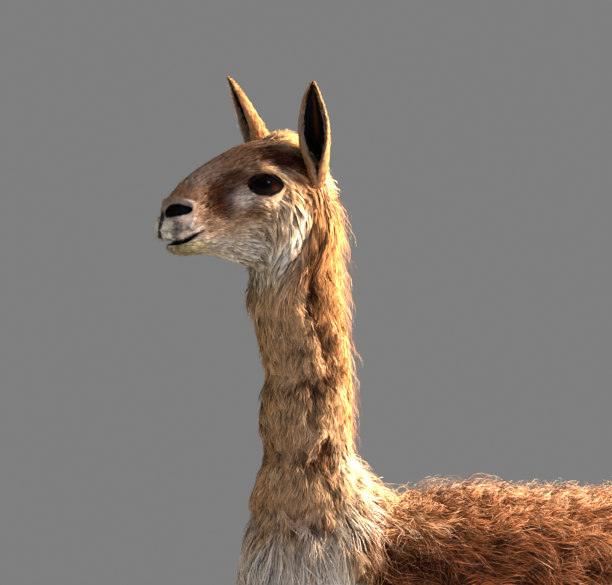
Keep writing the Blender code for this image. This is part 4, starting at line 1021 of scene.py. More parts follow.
def crease(p, side):
    """How deep in a crease between the neck's lobes of wool a place is, 0 to 1: the greatest of
    depth exp(-(gap / reach)^2) over paths drawn on girth and height, made uneven by a ripple.
    The reach is a path's radius times CREASE_REACH."""
    sway = ripple(p, 0.06, 31) * 0.008
    spot = np.stack(np.broadcast_arrays(side * HALF_GIRTH, p[..., 2] + sway), axis=-1)
    found = np.zeros(p.shape[:-1])
    for path, radius, depth in CREASES:
        ends = np.asarray(path) * (HALF_GIRTH, 1.0)
        found = np.maximum(found, depth * np.exp(-((stroke_gap(spot, ends) / radius / CREASE_REACH) ** 2)))
    return found * (0.72 + 0.28 * ripple(p, 0.022, 33)).clip(0, 1)


def neck_colour(p, turn):
    """Pale down the throat, tan at the side and orange-tan up the nape, with painted shade in the creases
    between the lobes of wool.
    """
    side = side_share(turn) + 0.05 * ripple(p, 0.05, 21)
    z = p[:, 2]
    c = np.tile(np.array(ORANGE), (len(p), 1))
    c = mix(c, TAN, smooth(side, 0.22, 0.48))
    c = mix(c, BUFF, 0.50 * smooth(side, 0.36, 0.52))
    c = mix(c, BUFF, smooth(side, 0.72, 0.90) * (0.35 + 0.65 * smooth(z, 1.02, 1.12)))
    c = mix(c, CREAM, 0.7 * smooth(side, 0.66, 0.90) * smooth(z, 1.105, 1.145))
    c = mix(c, CREAM, 0.60 * smooth(ripple(p * np.array((1, 1, 0.4)), 0.009, 22), 0.1, 0.9))
    c = mix(c, CINNAMON, 0.75 * smooth(ripple(p * np.array((1, 1, 0.4)), 0.011, 23), 0.1, 0.9)
            * smooth(-side, -0.80, -0.55))
    # Pale wool low on the back of the neck, partly painted sunlight
    c = mix(c, NECK_FOOT_PALE_AND_SUNLIT, 0.85 * smooth(-z, -0.95, -0.87) * smooth(-side, -0.48, -0.34))
    behind_cheek = smooth(z, 1.05, 1.11) * np.exp(-(((side - 0.48) / 0.11) ** 2))
    c = mix(c, RUST, 0.60 * smooth(z, 1.02, 1.08) * smooth(-side, -0.60, -0.50))
    c = mix(c, CINNAMON, 0.85 * behind_cheek)
    # Painted shade: the creases between the lobes of wool darkened, less down the throat
    folded = smooth(crease(p, side_share(turn)), 0.06, 0.50) * (1 - 0.80 * smooth(side, 0.64, 0.86))
    folded = folded * (0.60 + 0.40 * smooth(ripple(p, 0.016, 24), -0.7, 0.5))
    return mix(c, CREASE_SHADE_BROWN, 0.95 * folded)


def bib_share(p):
    """1 where the long white hair of the chest grows."""
    edge = 0.034 - 0.020 * smooth(-p[:, 2], -0.85, -0.80) + 0.006 * ripple(p, 0.05, 41)
    fall = 0.798 + 0.030 * ripple(p, 0.030, 42) + 0.060 * smooth(p[:, 0], -0.015, 0.025)
    return smooth(edge - p[:, 0], -0.006, 0.008) * smooth(fall - p[:, 2], -0.030, 0.030)


def back_share(p):
    """1 where the body's fleece grows, behind the foot of the neck."""
    x, z = p[:, 0], p[:, 2]
    ahead = 0.018 * smooth(-z, -0.85, -0.80) + 0.005 * ripple(p, 0.03, 62)
    back = smooth(x + ahead, 0.036, 0.050) * smooth(-z, -0.885, -0.835)
    return np.maximum(back, smooth(x, 0.072, 0.095) * smooth(-z, -0.885, -0.850))


def body_colour(p, turn):
    """Cinnamon fleece with painted shade low behind the shoulder and painted sunlight just behind the foot
    of the neck, and pale under the belly and the tail.
    """
    side = side_share(turn)
    c = np.tile(np.array(CINNAMON), (len(p), 1))
    c = mix(c, ORANGE, 0.40 * smooth(ripple(p, 0.07, 51), 0.0, 1.0))
    c = mix(c, DARK_BROWN, 0.70 * smooth(ripple(p, 0.026, 52) - 0.6 * smooth(-side, -0.4, -0.1), -0.5, 0.6))
    # Painted shade: the fleece low behind the shoulder and low on the side darkened to deep brown
    shade = smooth(-p[:, 2], -0.810, -0.770) * smooth(-side, -0.70, -0.50) * smooth(-p[:, 0], -0.40, -0.20)
    c = mix(c, DEEP_BROWN, 0.80 * smooth(-p[:, 2], -0.785, -0.745) * smooth(-side, -0.70, -0.50)
            * smooth(-p[:, 0], -0.42, -0.20))
    # Painted sunlight: orange on the fleece just behind the foot of the neck
    c = mix(c, ORANGE, 0.45 * smooth(p[:, 2], 0.780, 0.810) * smooth(-p[:, 0], -0.17, -0.11))
    c = mix(c, DARK_BROWN, 0.80 * shade * (1 - 0.5 * smooth(ripple(p, 0.018, 54), -0.2, 0.9)))
    low = smooth(side + 0.04 * ripple(p, 0.08, 53), 0.74, 0.86) * smooth(p[:, 0], 0.10, 0.16)
    c = mix(c, CREAM, 0.9 * low)
    rump = smooth(p[:, 0], 0.66, 0.74) * smooth(-np.abs(p[:, 1]), -0.075, -0.035)
    return mix(c, CREAM, 0.8 * rump * smooth(-p[:, 2], -0.80, -0.74))


def trunk_colour(p, place, turn):
    """The three sets of markings, each fading into the next, with painted shade along the parting and
    painted sunlight at the back of the bib.
    """
    face = face_colour(p)
    neck = neck_colour(p, turn)
    body = body_colour(p, turn)
    limit = 11.8 - 1.1 * smooth(side_share(turn), 0.6, 0.9)
    head_part = smooth(limit - place + 0.5 * ripple(p, 0.03, 61), -0.5, 0.6)
    c = mix(neck, face[:, :3], head_part)
    rust = smooth(p[:, 0], -0.034, -0.012) * smooth(p[:, 2], 1.06, 1.12) * smooth(-p[:, 2], -1.24, -1.215)
    c = mix(c, ORANGE, 0.70 * rust)
    # Painted shade along the parting behind the jaw, like the neck's creases
    parting = stroke_gap(mirrored(p)[:, ::2], ((-0.008, 1.205), (-0.018, 1.150), (-0.021, 1.085)))
    c = mix(c, CREASE_SHADE_BROWN, 0.85 * np.exp(-((parting / 0.0065) ** 2)) * smooth(side_share(turn), 0.25, 0.40))
    c = mix(c, body, back_share(p))
    chest = np.tile(np.array(BIB_WHITE), (len(p), 1))
    middle = smooth(p[:, 0] + 0.008 * ripple(p, 0.02, 64), -0.085, -0.055)
    chest = mix(chest, BIB_PINK, middle * (0.45 + 0.4 * smooth(ripple(p, 0.014, 63), -0.6, 0.8)))
    # The back of the bib pale gold, and cream higher up: real pale hair made brighter as painted sunlight
    gold = smooth(p[:, 0] + 0.010 * ripple(p, 0.02, 65), -0.030, 0.000)
    chest = mix(chest, BIB_GOLD_AND_SUNLIGHT, 0.95 * gold)
    chest = mix(chest, CREAM, 0.55 * gold * smooth(p[:, 2], 0.80, 0.85))
    c = mix(c, chest, bib_share(p))
    return np.hstack((c, np.where(head_part > 0.5, face[:, 3], 1.0)[:, None]))


def leg_colour(p):
    """Tawny outside and cream inside, cinnamon at the top and paler towards the feet."""
    inner = smooth(-np.abs(p[:, 1]), -0.096, -0.080)
    c = np.tile(np.array(TAN), (len(p), 1))
    c = mix(c, CINNAMON, 0.9 * smooth(p[:, 2], 0.48, 0.60))
    c = mix(c, BUFF, 0.8 * smooth(-p[:, 2], -0.34, -0.12))
    c = mix(c, CREAM, 0.85 * inner * smooth(-p[:, 2], -0.62, -0.50))
    c = mix(c, CREAM, 0.5 * smooth(-p[:, 2], -0.12, -0.05))
    shade = 1 + 0.12 * ripple(p, 0.03, 71)
    return np.hstack((c * shade[:, None], np.ones((len(p), 1))))


def ear_colour(p, place, turn):
    """Orange-tan behind with pale rims, and near-black inside with a brown stripe: dark skin with painted
    shade of the cup.
    """
    around_share = turn / TAU % 1.0
    inner = around_share > 0.5
    rim_gap = np.minimum(np.abs(around_share - 0.5), np.minimum(around_share, 1 - around_share))
    c = np.tile(np.array(ORANGE), (len(p), 1))
    c = mix(c, GOLD, 0.30 * smooth(ripple(p, 0.012, 81), -0.2, 0.9))
    c = 0.85 * mix(c, BUFF, 0.60 * smooth(-rim_gap, -0.075, -0.02))
    # Near-black inside: dark skin painted darker as the shade within the cup
    dark = inner * smooth(rim_gap, 0.035, 0.080)
    c = mix(c, BLACK, dark)
    stripe = np.exp(-(((around_share - 0.72) / 0.020) ** 2)) * inner * smooth(place, 0.30, 0.55)
    c = mix(c, DARK_BROWN, 0.6 * stripe)
    return np.hstack((c, np.ones((len(p), 1))))


def tail_colour(p, turn):
    """Brown above and white beneath."""
    side = side_share(turn)
    c = np.tile(np.array(CINNAMON), (len(p), 1))
    c = mix(c, TAN, 0.5 * smooth(ripple(p, 0.02, 91), 0, 1))
    c = mix(c, WHITE, smooth(side, 0.42, 0.68))
    return np.hstack((c, np.ones((len(p), 1))))


def walk(sheet, place, turn, length, steps, hang, sway):
    """Lines that run along a sheet in equal steps, each towards its length way mixed with straight
    down and the line's own sway. A step's change of line and turn solves the two-by-two system
    of the sheet's metric."""
    points, normals = [], []
    down = np.array((0.0, 0.0, -1.0))
    for step in range(steps + 1):
        point, normal, along, across = sheet.read(place, turn)
        points.append(point)
        normals.append(normal)
        if step == steps:
            break
        way = unit(along) * (1 - hang)[:, None] + down * hang[:, None] + sway
        way = way - normal * (way * normal).sum(axis=1)[:, None]
        way = unit(way) * (length / steps)[:, None]
        e = (along * along).sum(axis=1)
        g = (across * across).sum(axis=1) + 1e-9
        f = (along * across).sum(axis=1)
        a = (way * along).sum(axis=1)
        b = (way * across).sum(axis=1)
        det = np.maximum(e * g - f * f, 1e-12)
        place = place + np.clip((a * g - b * f) / det, -0.9, 0.9)
        turn = turn + np.clip((b * e - a * f) / det, -0.6, 0.6)
    return np.stack(points, 1), np.stack(normals, 1)


def clump_roots(sheet, place, turn, size_along, size_across):
    """Each root's nearest clump: cells of a grid in metres, each with its own off-centre middle."""
    girth = np.linalg.norm(sheet.table[..., 9:12], axis=2).mean(axis=1)
    radius = np.interp(place, sheet.lines, girth).mean()
    up = np.interp(place, sheet.lines, sheet.travel) / size_along
    round_way = turn * radius / size_across
    best = np.full(len(place), np.inf)
    key = np.zeros(len(place), np.int64)
    middle_up, middle_round = up.copy(), round_way.copy()
    for row in (-1, 0, 1):
        for column in (-1, 0, 1):
            i, j = np.floor(up) + row, np.floor(round_way) + column
            cu = i + 0.5 + 0.42 * np.sin(i * 12.9898 + j * 78.233) * np.cos(i * 3.1 + j * 1.7)
            cr = j + 0.5 + 0.42 * np.sin(i * 39.346 + j * 11.135) * np.cos(i * 2.3 - j * 4.1)
            gap = (cu - up) ** 2 + (cr - round_way) ** 2
            nearer = gap < best
            best = np.where(nearer, gap, best)
            key = np.where(nearer, (i * 100003 + j).astype(np.int64), key)
            middle_up = np.where(nearer, cu, middle_up)
            middle_round = np.where(nearer, cr, middle_round)
    _, first, index = np.unique(key, return_index=True, return_inverse=True)
    clump_place = np.interp(middle_up[first] * size_along, sheet.travel, sheet.lines)
    return clump_place, middle_round[first] * size_across / radius, index.reshape(-1)


def spread(value, count):
    return np.broadcast_to(np.asarray(value, float), (count,)).copy()


def grow_coat(sheet, place, turn, rng, style):
    """Ribbons that taper to a point. Lines walk along the sheet, are drawn towards their clump's
    line, rise to their lift, wave, and are widened to both sides."""
    count = len(place)
    steps = style["steps"]
    length = spread(style["length"], count) * rng.uniform(0.75, 1.2, count)
    hang = spread(style.get("hang", 0.0), count)
    root, _, _, _ = sheet.read(place, turn)
    drift = ripple_vector(root, style.get("drift_size", 0.05), 301) * style.get("drift", 0.25)
    lead = style.get("lead", np.zeros((count, 3)))
    sway = drift + lead + rng.normal(0, 1, (count, 3)) * spread(style.get("sway", 0.10), count)[:, None]
    line, normal = walk(sheet, place, turn, length, steps, hang, sway)
    share = np.linspace(0, 1, steps + 1)
    tone = np.ones(count)
    lift_factor = np.ones(count)
    if style.get("clump"):
        size_along, size_across, pull = style["clump"]
        c_place, c_turn, index = clump_roots(sheet, place, turn, size_along, size_across)
        total = np.bincount(index, minlength=len(c_place))
        c_length = np.bincount(index, length, len(c_place)) / total
        c_hang = np.bincount(index, hang, len(c_place)) / total
        c_root, _, _, _ = sheet.read(c_place, c_turn)
        c_sway = ripple_vector(c_root, style.get("drift_size", 0.05), 301) * style.get("drift", 0.25)
        c_lead = np.stack([np.bincount(index, axis, len(c_place)) / total for axis in lead.T], -1)
        c_sway = c_sway + c_lead + rng.normal(0, style.get("clump_sway", 0.18), (len(c_place), 3))
        c_line, _ = walk(sheet, c_place, c_turn, c_length, steps, c_hang, c_sway)
        weight = spread(pull, count)[:, None] * share[None, :] ** 0.8
        line = line * (1 - weight[..., None]) + c_line[index] * weight[..., None]
        lift_factor = (1 + rng.normal(0, style.get("clump_lift", 0.22), len(c_place)))[index]
        lift_factor = np.clip(lift_factor, 0.2, 1.5)
        tone = (1 + rng.normal(0, style.get("clump_tone", 0.10), len(c_place)))[index]
    lift = spread(style["lift"], count) * lift_factor * rng.uniform(0.75, 1.15, count)
    sink = spread(style.get("sink", 0.001), count)
    rise = -sink[:, None] + (lift + sink)[:, None] * np.sin(share * math.pi / 2 * 1.15)[None, :] ** 0.9
    line = line + normal * rise[..., None]
    if style.get("curl"):
        side = unit(np.cross(unit(np.gradient(line, axis=1)), normal))
        reach, waves = style["curl"]
        phase = rng.uniform(0, TAU, count)[:, None] if not style.get("clump") else (
            rng.uniform(0, TAU, len(c_place))[index] + rng.normal(0, 0.5, count))[:, None]
        swing = np.sin(phase + share[None, :] * TAU * waves) * share[None, :] ** 0.7
        bob = np.cos(phase * 1.7 + share[None, :] * TAU * waves) * share[None, :] ** 0.7
        amount = spread(reach, count)[:, None] * rng.uniform(0.5, 1.3, count)[:, None]
        line = line + side * (swing * amount)[..., None] + normal * (bob * amount * 0.5)[..., None]
    half = spread(style["width"], count) * rng.uniform(0.7, 1.25, count) / 2
    roll = rng.normal(0, style.get("roll", 0.45), count)
    tufts = ribbons(line, normal, half, roll, sheet.unwrap(place, turn))
    tufts["tone"] = tone
    return tufts


def ribbons(line, normal, half, roll, patch):
    """Flat strips along lines, as wide as half to each side of them, that narrow to a point. Each
    is turned about its line by roll. Patch is where the strip's foot lies on the flat layout."""
    count, steps = line.shape[0], line.shape[1] - 1
    share = np.linspace(0, 1, steps + 1)
    tangent = unit(np.gradient(line, axis=1))
    side = unit(np.cross(tangent, normal))
    roll = roll[:, None, None]
    facing = unit(np.cross(side, tangent))
    side = side * np.cos(roll) + facing * np.sin(roll)
    facing = unit(np.cross(side, tangent))
    facing = facing * np.sign((facing * normal).sum(axis=2, keepdims=True) + 1e-9)
    taper = np.interp(share[:-1], (0.0, 0.35, 1.0), (0.75, 1.0, 0.30))
    offset = side[:, :-1] * (half[:, None] * taper[None, :])[..., None]
    pairs = np.stack((line[:, :-1] - offset, line[:, :-1] + offset), axis=2)
    points = np.concatenate((pairs.reshape(count, -1, 3), line[:, -1:]), axis=1)
    bend = unit(normal * 0.55 + facing * 0.45)
    tilted = np.stack((bend[:, :-1] - side[:, :-1] * 0.42, bend[:, :-1] + side[:, :-1] * 0.42), axis=2)
    normals = unit(np.concatenate((tilted.reshape(count, -1, 3), bend[:, -1:]), axis=1))
    along = np.concatenate((np.repeat(share[:-1], 2), [1.0]))
    each = 2 * steps + 1
    pattern = []
    for k in range(steps - 1):
        pattern += [(2 * k, 2 * k + 1, 2 * k + 3), (2 * k, 2 * k + 3, 2 * k + 2)]
    pattern.append((2 * steps - 2, 2 * steps - 1, 2 * steps))
    faces = (np.arange(count)[:, None, None] * each + np.array(pattern)[None]).reshape(-1, 3)
    across = np.concatenate((np.tile((0.0, 1.0), steps), [0.5]))
    local = np.stack((across, along), -1) * 0.003
    corner = patch[:, None, :] + local[None]
    uvs = corner.reshape(-1, 2)[faces.reshape(-1)]
    return {"points": points.reshape(-1, 3), "normals": normals.reshape(-1, 3), "faces": faces,
            "uvs": uvs, "along": along, "each": each, "count": count}


def coat_tint(tufts, root_colour, deep, tip, tip_mix, rng, speck=0.10, foot=0.65):
    """The root's marking darkened at the foot as painted shade between the tufts, and mixed with the tip
    colour towards the end.
    """
    along = tufts["along"][None, :]
    base = root_colour[:, :3] * tufts["tone"][:, None]
    base = np.maximum(base, 0.003)
    base = base * (1 + rng.normal(0, speck, len(base)))[:, None]
    # Painted shade: deep is the share of colour left at the foot, and foot is how far along the shade
    # reaches
    deep = spread(deep, len(base))[:, None]
    depth = deep + (1 - deep) * smooth(along, 0.0, foot)
    colour = base[:, None, :] * depth[..., None]
    brightness = smooth(base @ np.array((0.3, 0.6, 0.1)), 0.02, 0.14)[:, None]
    light = spread(tip_mix, len(base))[:, None] * smooth(along, 0.35, 1.0) * brightness
    colour = mix(colour, np.asarray(tip), light)
    dry = np.ones(colour.shape[:2] + (1,))
    return np.clip(np.concatenate((colour, dry), axis=2), 0.003, 0.97).reshape(-1, 4)


def join_tufts(parts):
    """Several sets of tufts and their colours as one set of arrays."""
    points, normals, faces, uvs, colours, start = [], [], [], [], [], 0
    for tufts, colour in parts:
        points.append(tufts["points"])
        normals.append(tufts["normals"])
        faces.append(tufts["faces"] + start)
        uvs.append(tufts["uvs"])
        colours.append(colour)
        start += len(tufts["points"])
    return [np.concatenate(stack) for stack in (points, normals, faces, uvs, colours)]


def coat_piece(name, parts, finish):
    points, normals, faces, uvs, colours = join_tufts(parts)
    return new_piece(name, points, [(faces, uvs)], colours, finish, normals)


SHEETS = {}


def sheets():
    """All the skin's sheets, worked out once."""
    if not SHEETS:
        SHEETS["trunk"] = trunk_sheet(with_eyes=False)
        for kind in ("fore", "hind"):
            for where in SIDES:
                SHEETS[f"{kind}_{where}"] = leg_sheet(kind, where)
                for order in ("inner", "outer"):
                    SHEETS[f"{kind}_{where}_toe_{order}"] = toe_sheet(kind, where, order)
        SHEETS["tail"] = tail_sheet()
        for where in SIDES:
            SHEETS[f"ear_{where}"] = ear_sheet(where)
    return SHEETS


def sheet_colour(name, p, place, turn):
    """The markings of any sheet, for skin and coat alike."""
    if name == "trunk":
        return trunk_colour(p, place, turn)
    if name.startswith("ear"):
        return ear_colour(p, place, turn)
    if name == "tail":
        return tail_colour(p, turn)
    return leg_colour(p)


class VicunaCoatSettings(PropertyGroup):
    density: FloatProperty(
        name="Coat density", description="Share of the full number of tufts",
        default=1.0, min=0.1, max=1.5, subtype="FACTOR")
    fleece_length: FloatProperty(
        name="Fleece length", description="Length of the locks on the back and sides",
        default=0.062, min=0.01, max=0.15, unit="LENGTH")
    bib_length: FloatProperty(
        name="Bib length", description="Length of the white hair on the chest",
        default=0.105, min=0.02, max=0.20, unit="LENGTH")
    neck_length: FloatProperty(
        name="Neck wool length", description="Length of the wool on the neck",
        default=0.027, min=0.01, max=0.08, unit="LENGTH")
    tip_colour: FloatVectorProperty(
        name="Fleece tips", description="Sun-bleached tips of the fleece",
        default=(0.78, 0.56, 0.40), subtype="COLOR", size=3, min=0.0, max=1.0)
    seed: IntProperty(
        name="Seed", description="Start of the random draws", default=11, min=0)


class VicunaStageSettings(PropertyGroup):
    floor_colour: FloatVectorProperty(
        name="Floor", description="Colour of the pale floor",
        default=(0.17, 0.167, 0.16), subtype="COLOR", size=3, min=0.0, max=1.0)
    key_power: FloatProperty(
        name="Key light", description="Strength of the warm light from the side",
        default=1500.0, min=0.0, unit="POWER")
    fill_power: FloatProperty(
        name="Fill light", description="Strength of the soft light from the front",
        default=26.0, min=0.0, unit="POWER")
    lens: FloatProperty(
        name="Lens", description="Focal length of the camera in millimetres",
        default=268.0, min=20.0, unit="CAMERA")


class VICUNA_OT_skin(Operator):
    """Makes the one skin of trunk, limbs, tail, ears and lids"""

    bl_idname = "vicuna.skin"
    bl_label = "Skin"

    def execute(self, context):
        points, quads, fans, colours = [], [], [], []
        start = 0
        for name, sheet in sheets().items():
            shown = trunk_sheet(with_eyes=True) if name == "trunk" else sheet
            mesh_points, sets = tube_mesh(shown)
            (four, four_uv), (three, three_uv) = sets
            places = np.append(np.repeat(sheet.lines, sheet.count), sheet.lines[[0, -1]])
            turns = np.append(np.tile(around(sheet.count), len(sheet.lines)), (0.0, 0.0))
            marks = np.vstack((sheet.rest.reshape(-1, 3), sheet.rest[[0, -1]].mean(axis=1)))
            tint = sheet_colour(name, marks, places, turns)
            if name == "trunk":
                # Painted shade: the skin under the fur darkened, most under the fleece, less under the bib
                under = np.interp(places, (5, 8, 13, 19, 22), (0.9, 0.7, 0.55, 0.5, 0.28))
                tint[:, :3] *= np.maximum(under, 0.6 * bib_share(marks))[:, None]
            points.append(mesh_points)
            quads.append((four + start, four_uv))
            fans.append((three + start, three_uv))
            colours.append(tint)
            start += len(mesh_points)
        for where, side in SIDES.items():
            grid, gaps = lid_grid(side, sheets()["trunk"].points[:FACE_LINES])
            rows, sides = grid.shape[:2]
            share = (gaps - gaps[0]) / (gaps[-1] - gaps[0])
            four, four_uv, _, _ = tube_faces(rows, sides, PATCHES[f"lids_{where}"], share)
            _, axes = eye_frame(side)
            edge = np.cross(grid[4, 1] - grid[4, 0], grid[5, 0] - grid[4, 0])
            if edge @ axes[1] < 0:
                four = four[:, ::-1]
                four_uv = four_uv.reshape(-1, 4, 2)[:, ::-1].reshape(-1, 2)
            flat = grid.reshape(-1, 3)
            tint = face_colour(flat)
            # Painted shade: the lids' skin darkened to six tenths
            tint[:, :3] *= 0.6
            rim = np.repeat(smooth(-gaps, -0.0034, -0.0018), sides)
            tint[:, :3] = mix(tint[:, :3], BLACK, rim)
            tint[:, 3] = 1 - 0.35 * rim
            points.append(flat)
            quads.append((four + start, four_uv))
            colours.append(tint)
            start += len(flat)
        colour = np.vstack(colours)
        finish = coat_material("skin_under_coat", 0.85, 0.0, 0.5)
        skin = new_piece("skin", np.vstack(points), quads + fans, colour, finish)
        gone = [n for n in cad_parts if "nail" not in n and "eye" not in n]
        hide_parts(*gone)
        return {"FINISHED"}


class VICUNA_OT_eyes(Operator):
    """Makes both wet, dark eyeballs"""

    bl_idname = "vicuna.eyes"
    bl_label = "Eyes"

    def execute(self, context):
        finish = eye_material()
        for where, side in SIDES.items():
            middle, axes = eye_frame(side)
            polar = np.linspace(0.06, math.pi - 0.06, 40)[:, None]
            angles = around(72)[None, :]
            long, high, deep = BALL_HALF_SIZE
            u = long * np.sin(polar) * np.cos(angles)
            v = high * np.sin(polar) * np.sin(angles)
            bulge = 0.0009 * np.exp(-((u / 0.014) ** 2) - ((v / 0.011) ** 2)) * (np.cos(polar) > 0)
            w = deep * np.cos(polar) + 0.0 * angles + bulge
            u = u + BALL_SHIFT
            grid = middle + u[..., None] * axes[0] + w[..., None] * axes[1] + v[..., None] * axes[2]
            sheet = Sheet(polar[:, 0], grid, (0.0, 0.0, 1.0, 1.0))
            points, sets = tube_mesh(sheet)
            local = eye_local(points, side)
            iris = np.hypot(local[:, 0] / 0.0165, local[:, 2] / 0.0130)
            pupil = np.hypot(local[:, 0] / 0.0105, local[:, 2] / 0.0052)
            # Painted reflection: a red-brown glint low at the back of the eye
            painted_glint = np.hypot((local[:, 0] - 0.0130) / 0.006, (local[:, 2] + 0.0055) / 0.004)
            c = np.tile(np.array((0.0011, 0.0010, 0.0010)), (len(points), 1))
            c = mix(c, (0.0028, 0.0012, 0.0008), smooth(-iris, -1.0, -0.60))
            c = mix(c, (0.0008, 0.0008, 0.0012), smooth(-pupil, -1.1, -0.8))
            c = mix(c, (0.040, 0.010, 0.003), 0.6 * np.exp(-(painted_glint**2)))
            eye = new_piece(f"eyeball_{where}", points, sets, c, finish)
            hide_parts(f"eye_{where}")
        return {"FINISHED"}


class VICUNA_OT_nails(Operator):
    """Makes the eight nails"""

    bl_idname = "vicuna.nails"
    bl_label = "Nails"

    def execute(self, context):
        finish = nail_material()
        for kind, ankle_x, ankle_side in (
            ("fore", FORE_FOOT_X, FORE_SIDE), ("hind", HIND_FOOT_X, HIND_SIDE)
        ):
            for where, side in SIDES.items():
                for order in ("outer", "inner"):
                    spread_way = side if order == "outer" else -side
                    lines = np.linspace(0, len(NAIL) - 1, 22)
                    x, top, low, half = through(NAIL, lines).T
                    angles = around(24)
                    middle = ankle_side * side + spread_way * TOE_SPREAD
                    ridge = np.cos(angles)[None, :]
                    grid = np.stack((
                        np.broadcast_to((ankle_x + x)[:, None], (22, 24)),
                        middle + half[:, None] * np.sin(angles) * (1 - 0.18 * ridge),
                        ((top + low) / 2)[:, None] + ((top - low) / 2)[:, None] * ridge,
                    ), axis=2)
                    sheet = Sheet(lines, grid, (0.0, 0.0, 1.0, 1.0))
                    points, sets = tube_mesh(sheet)
                    name = f"{kind}_nail_{order}_{where}"
                    nail = new_piece(f"{name}_horn", points, sets, None, finish)
                    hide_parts(name)
        return {"FINISHED"}


def face_style(sheet, place, turn):
    """Lengths, lifts, lie and share of long fur on the face, from the place on the head."""
    p = sheet.mark(place, turn)
    q = mirrored(p)
    x, z = q[:, 0], q[:, 2]
    side = side_share(turn)
    length = np.interp(
        place, (0, 2, 4, 7, 9, 11, 13), (0.0025, 0.0040, 0.0060, 0.0085, 0.012, 0.015, 0.022))
    crown = smooth(x, -0.085, -0.045) * smooth(-x, -0.010, 0.012) * smooth(-side, -0.28, -0.12)
    throat = smooth(side, 0.62, 0.85) * smooth(place, 4, 8)
    cheek = smooth(x, -0.098, -0.070) * smooth(-z, -1.240, -1.215) * smooth(-side, -0.86, -0.74)
    ear_foot = np.exp(-((np.linalg.norm(q - np.array((-0.006, 0.048, 1.236)), axis=1) / 0.022) ** 2))
    length = length * (1 + 0.45 * crown + 0.35 * throat + 0.9 * cheek + 0.3 * ear_foot)
    length = length * (0.36 + 0.64 * smooth(both_eyes_gap(p), 0.003, 0.014))
    length = length * (0.25 + 0.75 * smooth(stroke_gap(q, STROKES[1][0]), 0.0035, 0.0110))
    length = length * (0.40 + 0.60 * smooth(nostril_share(p), 1.3, 2.6))
    hang = np.maximum(0.55 * smooth(x, -0.115, -0.06) * smooth(side, 0.28, 0.5), 0.92 * cheek)
    hang = np.maximum(hang, 0.80 * ear_foot)
    hang = np.maximum(hang, 0.75 * smooth(-place, -1.8, -0.6))
    share, front = mouth_share(p)
    hang = np.maximum(hang, 0.85 * front * smooth(share, 0.95, 1.05) * smooth(-share, -1.8, -1.2))
    length = length + 0.0035 * smooth(-z, -1.184, -1.170) * smooth(-x, 0.140, 0.165)
    lift = length * (0.16 + 0.50 * crown + 0.10 * throat + 0.07 * cheek)
    lead = np.zeros((len(p), 3))
    lead[:, 0] = -0.42 * cheek * smooth(-z, -1.215, -1.150)
    width = np.interp(length, (0.002, 0.006, 0.02), (0.00045, 0.00065, 0.00095))
    return p, length, lift, hang, width, lead, crown


class VICUNA_OT_face_coat(Operator):
    """Grows the short fur of the head"""

    bl_idname = "vicuna.face_coat"
    bl_label = "Face fur"

    def execute(self, context):
        settings = context.scene.vicuna_coat
        rng = np.random.default_rng(settings.seed)
        sheet = sheets()["trunk"]
        finish = coat_material("face_fur", 0.80, 0.008, 0.0)

        muzzle = smooth(-sheet.points[:-1, :, 0], 0.12, 0.19)
        density = (HEAD_DENSITY + MUZZLE_EXTRA_DENSITY * muzzle) * settings.density
        place, turn = sheet.scatter(density, rng, last=12.6)
        p, length, lift, hang, width, lead, crown = face_style(sheet, place, turn)
        share, front = mouth_share(p)
        open_mouth = front & (share > -0.06) & (share < 1.03) & (p[:, 0] < -0.176)
        seam = stroke_gap(mirrored(p), CLEFT) < 0.0042
        ear_foot = np.linalg.norm(mirrored(p) - np.array(EAR_ROOT), axis=1) < 0.010
        keep = (both_eyes_gap(p) > 0.0026) & (nostril_share(p) > 1.12) & ~open_mouth & ~seam & ~ear_foot
        keep &= (place > 0.35) & (stroke_gap(mirrored(p), STROKES[1][0]) > 0.0032)
        place, turn, p, length, lift, hang, width, lead, crown = pick(
            keep, place, turn, p, length, lift, hang, width, lead, crown)
        long_fur = place + 0.8 * ripple(p, 0.02, 15) > 7.2
        for name, part, clump, tone, drift, pull in (
            ("coat_muzzle", ~long_fur, (0.0070, 0.0030), 0.26, 0.14, 0.76),
            ("coat_cheeks", long_fur, (0.0200, 0.0028), 0.26, 0.07, 0.62),
        ):
            style = {
                "steps": 3, "length": length[part], "lift": lift[part], "hang": hang[part],
                "width": width[part] * (1 - 0.35 * crown[part]), "lead": lead[part], "sink": 0.0006,
                "drift": drift, "drift_size": 0.03, "sway": 0.08 + 0.40 * crown[part], "roll": 0.5,
                "clump": (
                    *clump,
                    np.interp(length[part], (0.004, 0.014), (0.30, pull)) * (1 - 0.8 * crown[part])),
                "clump_sway": 0.07, "clump_lift": 0.30, "clump_tone": tone,
            }
            tufts = grow_coat(sheet, place[part], turn[part], rng, style)
            colour = trunk_colour(p[part], place[part], turn[part])
            tip_mix = np.interp(length[part], (0.004, 0.018), (0.04, 0.34))
            deep = np.interp(length[part], (0.004, 0.012), (0.70, 0.28))
            behind = smooth(p[part, 0], -0.040, -0.018) * smooth(-p[part, 2], -1.245, -1.215)
            tips = mix(np.tile(np.array(CREAM), (len(behind), 1)), NAPE_TIP, behind)[:, None, :]
            tint = coat_tint(tufts, colour, deep, tips, tip_mix * (1 - 0.6 * crown[part]), rng, 0.28)
            coat_piece(name, [(tufts, tint)], finish)
        return {"FINISHED"}


def pick_rows(values, keep, each):
    return values.reshape(len(keep), each, -1)[keep].reshape(-1, values.shape[-1])


